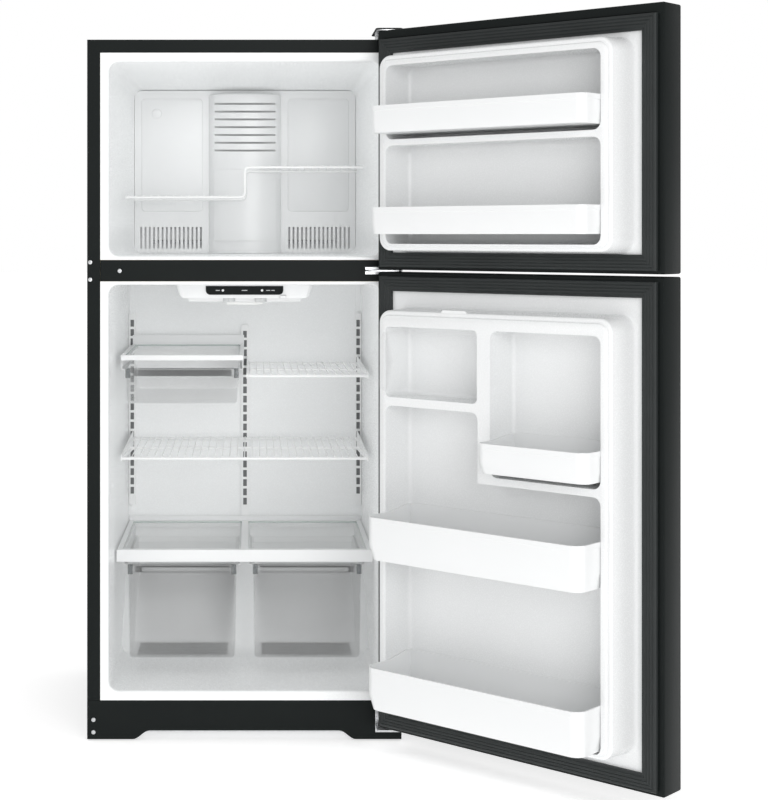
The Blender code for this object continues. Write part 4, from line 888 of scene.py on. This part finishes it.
def tub(node, floor, ceiling, taper, drop, stepped):
    """A tub with its flange."""
    low, high = cabinet_box(node)
    piece = add_box(node + "_tub", (low.x, 0.0, low.z), (high.x, WALL, high.z))
    outside = tapered_room(WALL, floor, ceiling, taper, drop)
    inside = tapered_room(0.0, floor, ceiling, taper, drop)
    if stepped:
        combine(outside, step_cutter(WALL, floor), "DIFFERENCE")
        combine(inside, step_cutter(0.0, floor), "DIFFERENCE")
        for room, grow in ((outside, WALL), (inside, 0.0)):
            round_edges(room, lambda run, spot: abs(run.x) > 0.9 and abs(spot.y - STEP_START) < 0.012
                        and spot.z < floor + 0.01, 0.030 - grow, 5)
    combine(piece, outside, "UNION")
    combine(piece, inside, "DIFFERENCE")

    def round_mouth(level, width):
        round_edges(piece, lambda run, spot: abs(spot.y - level) < 0.0003 and abs(spot.x) < OPEN_HALF + 0.003
                    and floor - 0.003 < spot.z < ceiling + 0.003, width, 5)

    round_mouth(0.0, MOUTH_ROUND)
    round_mouth(WALL, MOUTH_ROUND - WALL)
    return piece


# %% Freezer and fresh-food liners
freezer_tub = tub("freezer_liner", FREEZER_FLOOR, FREEZER_CEILING, taper=0.029, drop=0.027, stepped=False)
soften(freezer_tub, 0.0006, 2, 40)
hand_over(freezer_tub, liner_white, "white_plastic", "cabinet", "freezer_liner")
food_tub = tub("fresh_food_liner", FOOD_FLOOR, FOOD_CEILING, taper=0.004, drop=0.0, stepped=True)
track_low, track_high = cabinet_box("shelf_track_left")
for side in (-1, 1):
    middle = side * (abs(track_low.x) + abs(track_high.x)) / 2
    rib = add_box("rib", (middle - 0.0065, LINER_DEPTH - 0.0035, track_high.z + 0.006),
                  (middle + 0.0065, LINER_DEPTH + 0.0005, FOOD_CEILING - 0.004))
    combine(food_tub, rib, "UNION")
soften(food_tub, 0.0006, 2, 40)
hand_over(food_tub, liner_white, "white_plastic", "cabinet", "fresh_food_liner")
print("tubs", len(freezer_tub.data.polygons), len(food_tub.data.polygons), "faces")

# %% [markdown]
# ## Evaporator cover
# The freezer's back is a white cover in front of the cold coil. The fan behind it blows through the
# louvres of a bowed tower, and the air returns through two rows of upright vents at the foot. The
# panel fields either side are embossed to stiffen the sheet.

# %% Cover sheet and fields
cover_low, cover_high = cabinet_box("evaporator_cover")
COVER_FACE = cover_high.y - 0.003
foot, head = cover_low.z, cover_high.z
cover = add_box("evaporator_cover_moulding", (cover_low.x, COVER_FACE, foot),
                (cover_high.x, cover_high.y, head))
round_edges(cover, lambda run, spot: abs(run.y) > 0.9, 0.018, 6)
for side in (-1, 1):
    near, far = 0.115, abs(cover_high.x) - 0.018
    field = add_box("field", (min(side * near, side * far), COVER_FACE - 0.0022, foot + 0.112),
                    (max(side * near, side * far), COVER_FACE + 0.001, head - 0.022))
    round_edges(field, lambda run, spot: abs(run.y) > 0.9, 0.010, 5)
    round_edges(field, lambda run, spot: abs(run.y) < 0.1 and spot.y < COVER_FACE - 0.002, 0.0018, 3)
    combine(cover, field, "UNION")
print("fields embossed on a sheet", round(cover_high.x - cover_low.x, 3), "wide")

# %% Tower
TOWER_HALF = 0.097
TOWER_BULGE = COVER_FACE - cover_low.y


def oval_rod(name, middle_z, tall, half_width, bulge):
    """An upright rod of oval section, centred on the cover's face."""
    rod = add_rod(name, "Z", (0.0, COVER_FACE, middle_z), 1.0, tall, 56)
    centre = FRONT + Vector((0.0, COVER_FACE, 0.0))
    squash = Matrix.Diagonal((half_width, bulge, 1.0, 1.0))
    rod.data.transform(Matrix.Translation(centre) @ squash @ Matrix.Translation(-centre))
    return rod


tower_top = head - 0.010
tower = oval_rod("tower", (foot + tower_top) / 2, tower_top - foot, TOWER_HALF, TOWER_BULGE)
round_edges(tower, lambda run, spot: abs(run.z) < 0.1 and spot.z > tower_top - 0.001, 0.007, 4)
behind = add_box("behind", (-0.2, COVER_FACE + 0.001, foot - 0.01), (0.2, 0.7, head + 0.01))
combine(tower, behind, "DIFFERENCE")
band = oval_rod("band", foot + 0.128, 0.190, TOWER_HALF + 0.004, TOWER_BULGE + 0.0045)
keep = add_box("keep", (-0.084, 0.0, foot), (0.084, COVER_FACE - 0.005, head))
combine(band, keep, "INTERSECT")
combine(tower, band, "UNION")
LOUVRES = 7
LOUVRE_PITCH = 0.0208
LOUVRE_HALF = 0.081
for row in range(LOUVRES):
    top = tower_top - 0.028 - row * LOUVRE_PITCH
    gap = add_box("louvre", (-LOUVRE_HALF, COVER_FACE - TOWER_BULGE - 0.02, top - 0.0048),
                  (LOUVRE_HALF, COVER_FACE - 0.012, top))
    choose(gap, "VERT", lambda normal, spot: spot.y > COVER_FACE - 0.02)
    bpy.ops.transform.translate(value=(0.0, 0.0, 0.004))
    leave()
    combine(tower, gap, "DIFFERENCE")
combine(cover, tower, "UNION")
print("tower with", LOUVRES, "louvres")

# %% Vents and boss
VENTS = 15
VENT_PITCH = 0.0115
VENT_HALF = 0.0024
for side in (-1, 1):
    for column in range(VENTS):
        x = side * (0.119 + column * VENT_PITCH)
        vent = add_box("vent", (x - VENT_HALF, COVER_FACE - 0.01, foot + 0.012),
                       (x + VENT_HALF, 0.7, foot + 0.070))
        combine(cover, vent, "DIFFERENCE")
boss = add_rod("boss", "Y", (-0.238, COVER_FACE - 0.0020, head - 0.062), 0.013, 0.006, 28)
round_edges(boss, lambda run, spot: abs(run.y) < 0.1, 0.0015, 3)
combine(cover, boss, "UNION")
soften(cover, 0.0006, 2, 35)
hand_over(cover, shelf_white, "white_plastic", "cabinet", "evaporator_cover")
print("evaporator cover", len(cover.data.polygons), "faces")

# %% [markdown]
# ## Drawers
# The two crispers and the deli drawer are injection-moulded from clear plastic. Each is a tub that
# narrows towards its foot, with a rim that hangs on rails, a pull along its front between two smoked
# stops, and ribs across its floor. The crispers' floors climb at the back over the machine space.

# %% Drawers
DRAWER_WALL = 0.0022
RIM_THICK = 0.0025
RIM_REACH = 0.0080
RIB_PITCH = 0.016


def drawer(node, body, climb, ribs):
    """A clear tub with a rim and a pull. The climb is where its floor starts to rise and how far."""
    low, high = cabinet_box(node)
    lip = low.y + 0.008
    piece = add_box(node + "_tub", (low.x + RIM_REACH, lip, low.z),
                    (high.x - RIM_REACH, high.y - 0.002, high.z))
    heel = FRONT + Vector(((low.x + high.x) / 2, high.y, low.z))
    if climb:
        cut_at(piece, climb[0], "Y")
        choose(piece, "VERT", lambda normal, spot: spot.z < low.z + 0.001 and spot.y > climb[0] + 0.01)
        bpy.ops.transform.translate(value=(0.0, 0.0, climb[1]))
        leave()
    choose(piece, "VERT", lambda normal, spot: spot.z < high.z - 0.010)
    bpy.ops.transform.resize(value=(0.975, 1.0, 1.0), center_override=heel)
    leave()
    round_edges(piece, lambda run, spot: spot.z < high.z - 0.002, 0.010, 5)
    choose(piece, "FACE", lambda normal, spot: normal.z > 0.9)
    bpy.ops.mesh.delete(type="FACE")
    leave()
    wall = piece.modifiers.new("wall", "SOLIDIFY")
    wall.thickness = DRAWER_WALL
    wall.offset = -1.0
    only(piece)
    bpy.ops.object.modifier_apply(modifier="wall")
    edge = add_box("edge", (low.x, lip + 0.004, high.z - RIM_THICK), (high.x, high.y, high.z))
    round_edges(edge, lambda run, spot: abs(run.z) > 0.9, 0.010, 5)
    mouth = add_box("mouth", (low.x + RIM_REACH + 0.003, lip + 0.007, high.z - 0.02),
                    (high.x - RIM_REACH - 0.003, high.y - 0.005, high.z + 0.01))
    round_edges(mouth, lambda run, spot: abs(run.z) > 0.9, 0.011, 5)
    combine(edge, mouth, "DIFFERENCE")
    combine(piece, edge, "UNION")
    pull = add_box("pull", (low.x + 0.022, low.y, high.z - 0.020),
                   (high.x - 0.022, lip + 0.001, high.z - 0.0005))
    round_edges(pull, lambda run, spot: abs(run.x) > 0.9 and spot.y < low.y + 0.001, 0.004, 4)
    scoop = add_box("scoop", (low.x + 0.026, low.y + DRAWER_WALL, high.z - 0.05),
                    (high.x - 0.026, lip - 0.0005, high.z - 0.0035))
    combine(pull, scoop, "DIFFERENCE")
    combine(piece, pull, "UNION")
    soften(piece, 0.0005, 2, 35)
    hand_over(piece, clear_plastic, "clear_plastic", body, node)
    for side, x in (("left", low.x + 0.014), ("right", high.x - 0.014)):
        stop = add_box(node + "_stop_" + side, (x - 0.006, low.y, high.z - 0.024),
                       (x + 0.006, lip + 0.001, high.z - 0.001))
        round_edges(stop, lambda run, spot: abs(run.y) < 0.3 and spot.y < low.y + 0.001, 0.002, 3)
        soften(stop, 0.0004, 1, 40)
        hand_over(stop, smoked_plastic, "clear_plastic", body)
    for row in range(ribs):
        y = lip + 0.030 + row * RIB_PITCH
        rib = add_box(node + "_rib_" + str(row + 1), (low.x + 0.030, y, low.z + 0.0026),
                      (high.x - 0.030, y + 0.003, low.z + 0.0046))
        round_edges(rib, lambda run, spot: spot.z > low.z + 0.004, 0.0009, 2)
        soften(rib, 0.0001, 1, 40)
        hand_over(rib, clear_plastic, "clear_plastic", body)
    print(node, len(piece.data.polygons), "faces", ribs, "ribs")


crisper_climb = (STEP_START - 0.015, 0.150)
drawer("crisper_left", "crisper_left_body", crisper_climb, 8)
drawer("crisper_right", "crisper_right_body", crisper_climb, 8)
drawer("deli_drawer", "deli_drawer_body", None, 0)

# %% [markdown]
# ## Controls
# The housing under the ceiling holds the lamp, the two dials and the light switch. Its front carries a
# dark strip with a darker field let into it and generic marks: two dots and some short bars, no words.

# %% Control housing
box_low, box_high = cabinet_box("control_housing")
UNDER = FOOD_CEILING - 0.0365
housing = add_box("control_housing_moulding", (box_low.x, box_low.y, UNDER),
                  (box_high.x, box_high.y, box_high.z))
choose(housing, "VERT", lambda normal, spot: spot.z < UNDER + 0.001)
bpy.ops.transform.resize(value=(0.93, 1.0, 1.0), center_override=FRONT + Vector((0.0, 0.0, UNDER)))
leave()
round_edges(housing, lambda run, spot: abs(run.x) < 0.4 and spot.z < UNDER + 0.02, 0.010, 5)
lamp_box = add_box("lamp_box", (box_low.x + 0.030, box_low.y + 0.050, box_low.z),
                   (box_high.x - 0.030, box_high.y - 0.010, UNDER + 0.002))
round_edges(lamp_box, lambda run, spot: spot.z < box_low.z + 0.001, 0.005, 3)
combine(housing, lamp_box, "UNION")
lens_low, lens_high = cabinet_box("lamp_cover")
well = add_box("well", (lens_low.x - 0.002, lens_low.y - 0.002, box_low.z - 0.05),
               (lens_high.x + 0.002, lens_high.y + 0.002, UNDER + 0.012))
combine(housing, well, "DIFFERENCE")
button_low, button_high = cabinet_box("light_switch_button")
BUTTON_ROOM = 0.0006
slot_cut = add_box("slot_cut", (button_low.x - BUTTON_ROOM, 0.05, button_low.z - BUTTON_ROOM),
                   (button_high.x + BUTTON_ROOM, button_high.y + 0.012, button_high.z + BUTTON_ROOM))
combine(housing, slot_cut, "DIFFERENCE")
for dial in ("fresh_food_dial", "freezer_dial"):
    low, high = cabinet_box(dial)
    stem_x, stem_y = (low.x + high.x) / 2, low.y + (high.x - low.x) / 2
    bore = add_rod("bore", "Z", (stem_x, stem_y, UNDER), 0.0046, 0.026, 20)
    combine(housing, bore, "DIFFERENCE")
soften(housing, 0.0008, 3, 30)
hand_over(housing, shelf_white, "white_plastic", "cabinet", "control_housing")
print("housing", [round(side, 3) for side in box_high - box_low])

# %% Control strip
strip_low, strip_high = cabinet_box("control_panel")
strip = add_box("control_strip", strip_low, strip_high)
round_edges(strip, lambda run, spot: abs(run.y) > 0.9 and spot.z < strip_low.z + 0.001, 0.011, 6)
choose(strip, "FACE", lambda normal, spot: normal.y < -0.9)
bpy.ops.mesh.inset(thickness=0.0042, depth=0.0)
bpy.ops.mesh.inset(thickness=0.0005, depth=-0.0006)
leave()
soften(strip, 0.0003, 2, 30)
hand_over(strip, black_plastic, "black_plastic", "cabinet", "control_panel")
mark_z = (strip_low.z + strip_high.z) / 2
face_y = strip_low.y + 0.0006
DOT_RADIUS = 0.0030
for count, x in enumerate((-0.0530, 0.0430)):
    dot = add_rod("strip_dot_" + str(count + 1), "Y", (x, face_y - 0.0001, mark_z), DOT_RADIUS, 0.0005, 24)
    round_edges(dot, lambda run, spot: abs(run.y) < 0.1 and spot.y < face_y, 0.00015, 1)
    hand_over(dot, bin_white, "white_plastic", "cabinet")
for count, (x, wide) in enumerate(((-0.0655, 0.010), (0.0, 0.014), (0.0580, 0.010), (0.0700, 0.008))):
    bar = add_box("strip_bar_" + str(count + 1), (x - wide / 2, face_y - 0.0003, mark_z - 0.0009),
                  (x + wide / 2, face_y + 0.0002, mark_z + 0.0009))
    round_edges(bar, lambda run, spot: abs(run.y) > 0.9, 0.0006, 2)
    hand_over(bar, dial_grey, "grey_plastic", "cabinet")
print("control strip", [round(side, 3) for side in strip_high - strip_low])

# %% [markdown]
# ## Shelf tracks
# The shelves hang on slotted steel channels at the back wall. Each slot is cut right through. The
# hollow of the channel is dark, and a thin grey strip of painted shade inside it stands for that darkness.

# %% Tracks
SLOT_PITCH = 0.0254
SLOT_TALL = 0.0185
CHANNEL_WALL = 0.0016


def slotted_track(node, wide_slot, round_ends):
    """A channel with a row of upright slots, and the grey strip of painted shade inside it."""
    low, high = cabinet_box(node)
    middle = (low.x + high.x) / 2
    piece = add_box(node + "_channel", low, high)
    if round_ends:
        round_edges(piece, lambda run, spot: abs(run.y) > 0.9, 0.008, 6)
    hollow = add_box("hollow", (low.x + CHANNEL_WALL, low.y + CHANNEL_WALL, low.z + 0.002),
                     (high.x - CHANNEL_WALL, high.y + 0.01, high.z - 0.002))
    combine(piece, hollow, "DIFFERENCE")
    top = high.z - 0.018
    while top - 0.019 > low.z + 0.012:
        gap = add_box("slot", (middle - wide_slot / 2, low.y - 0.01, top - SLOT_TALL),
                      (middle + wide_slot / 2, low.y + 0.004, top))
        combine(piece, gap, "DIFFERENCE")
        top -= SLOT_PITCH
    soften(piece, 0.0004, 2, 40)
    hand_over(piece, wire_white, "white_coated_steel", "cabinet", node)
    # A grey strip just behind the slots: painted shade that stands for the dark hollow of the channel.
    strip = add_box(node + "_inner_strip", (low.x + 0.0024, low.y + 0.0040, low.z + 0.004),
                    (high.x - 0.0024, low.y + 0.0050, high.z - 0.004))
    round_edges(strip, lambda run, spot: abs(run.z) > 0.9, 0.0003, 1)
    hand_over(strip, slot_shade, "machine_paint", "cabinet")
    print(node, len(piece.data.polygons), "faces")


slotted_track("shelf_track_left", 0.0094, False)
slotted_track("shelf_track_right", 0.0094, False)
slotted_track("shelf_track_center", 0.0098, True)
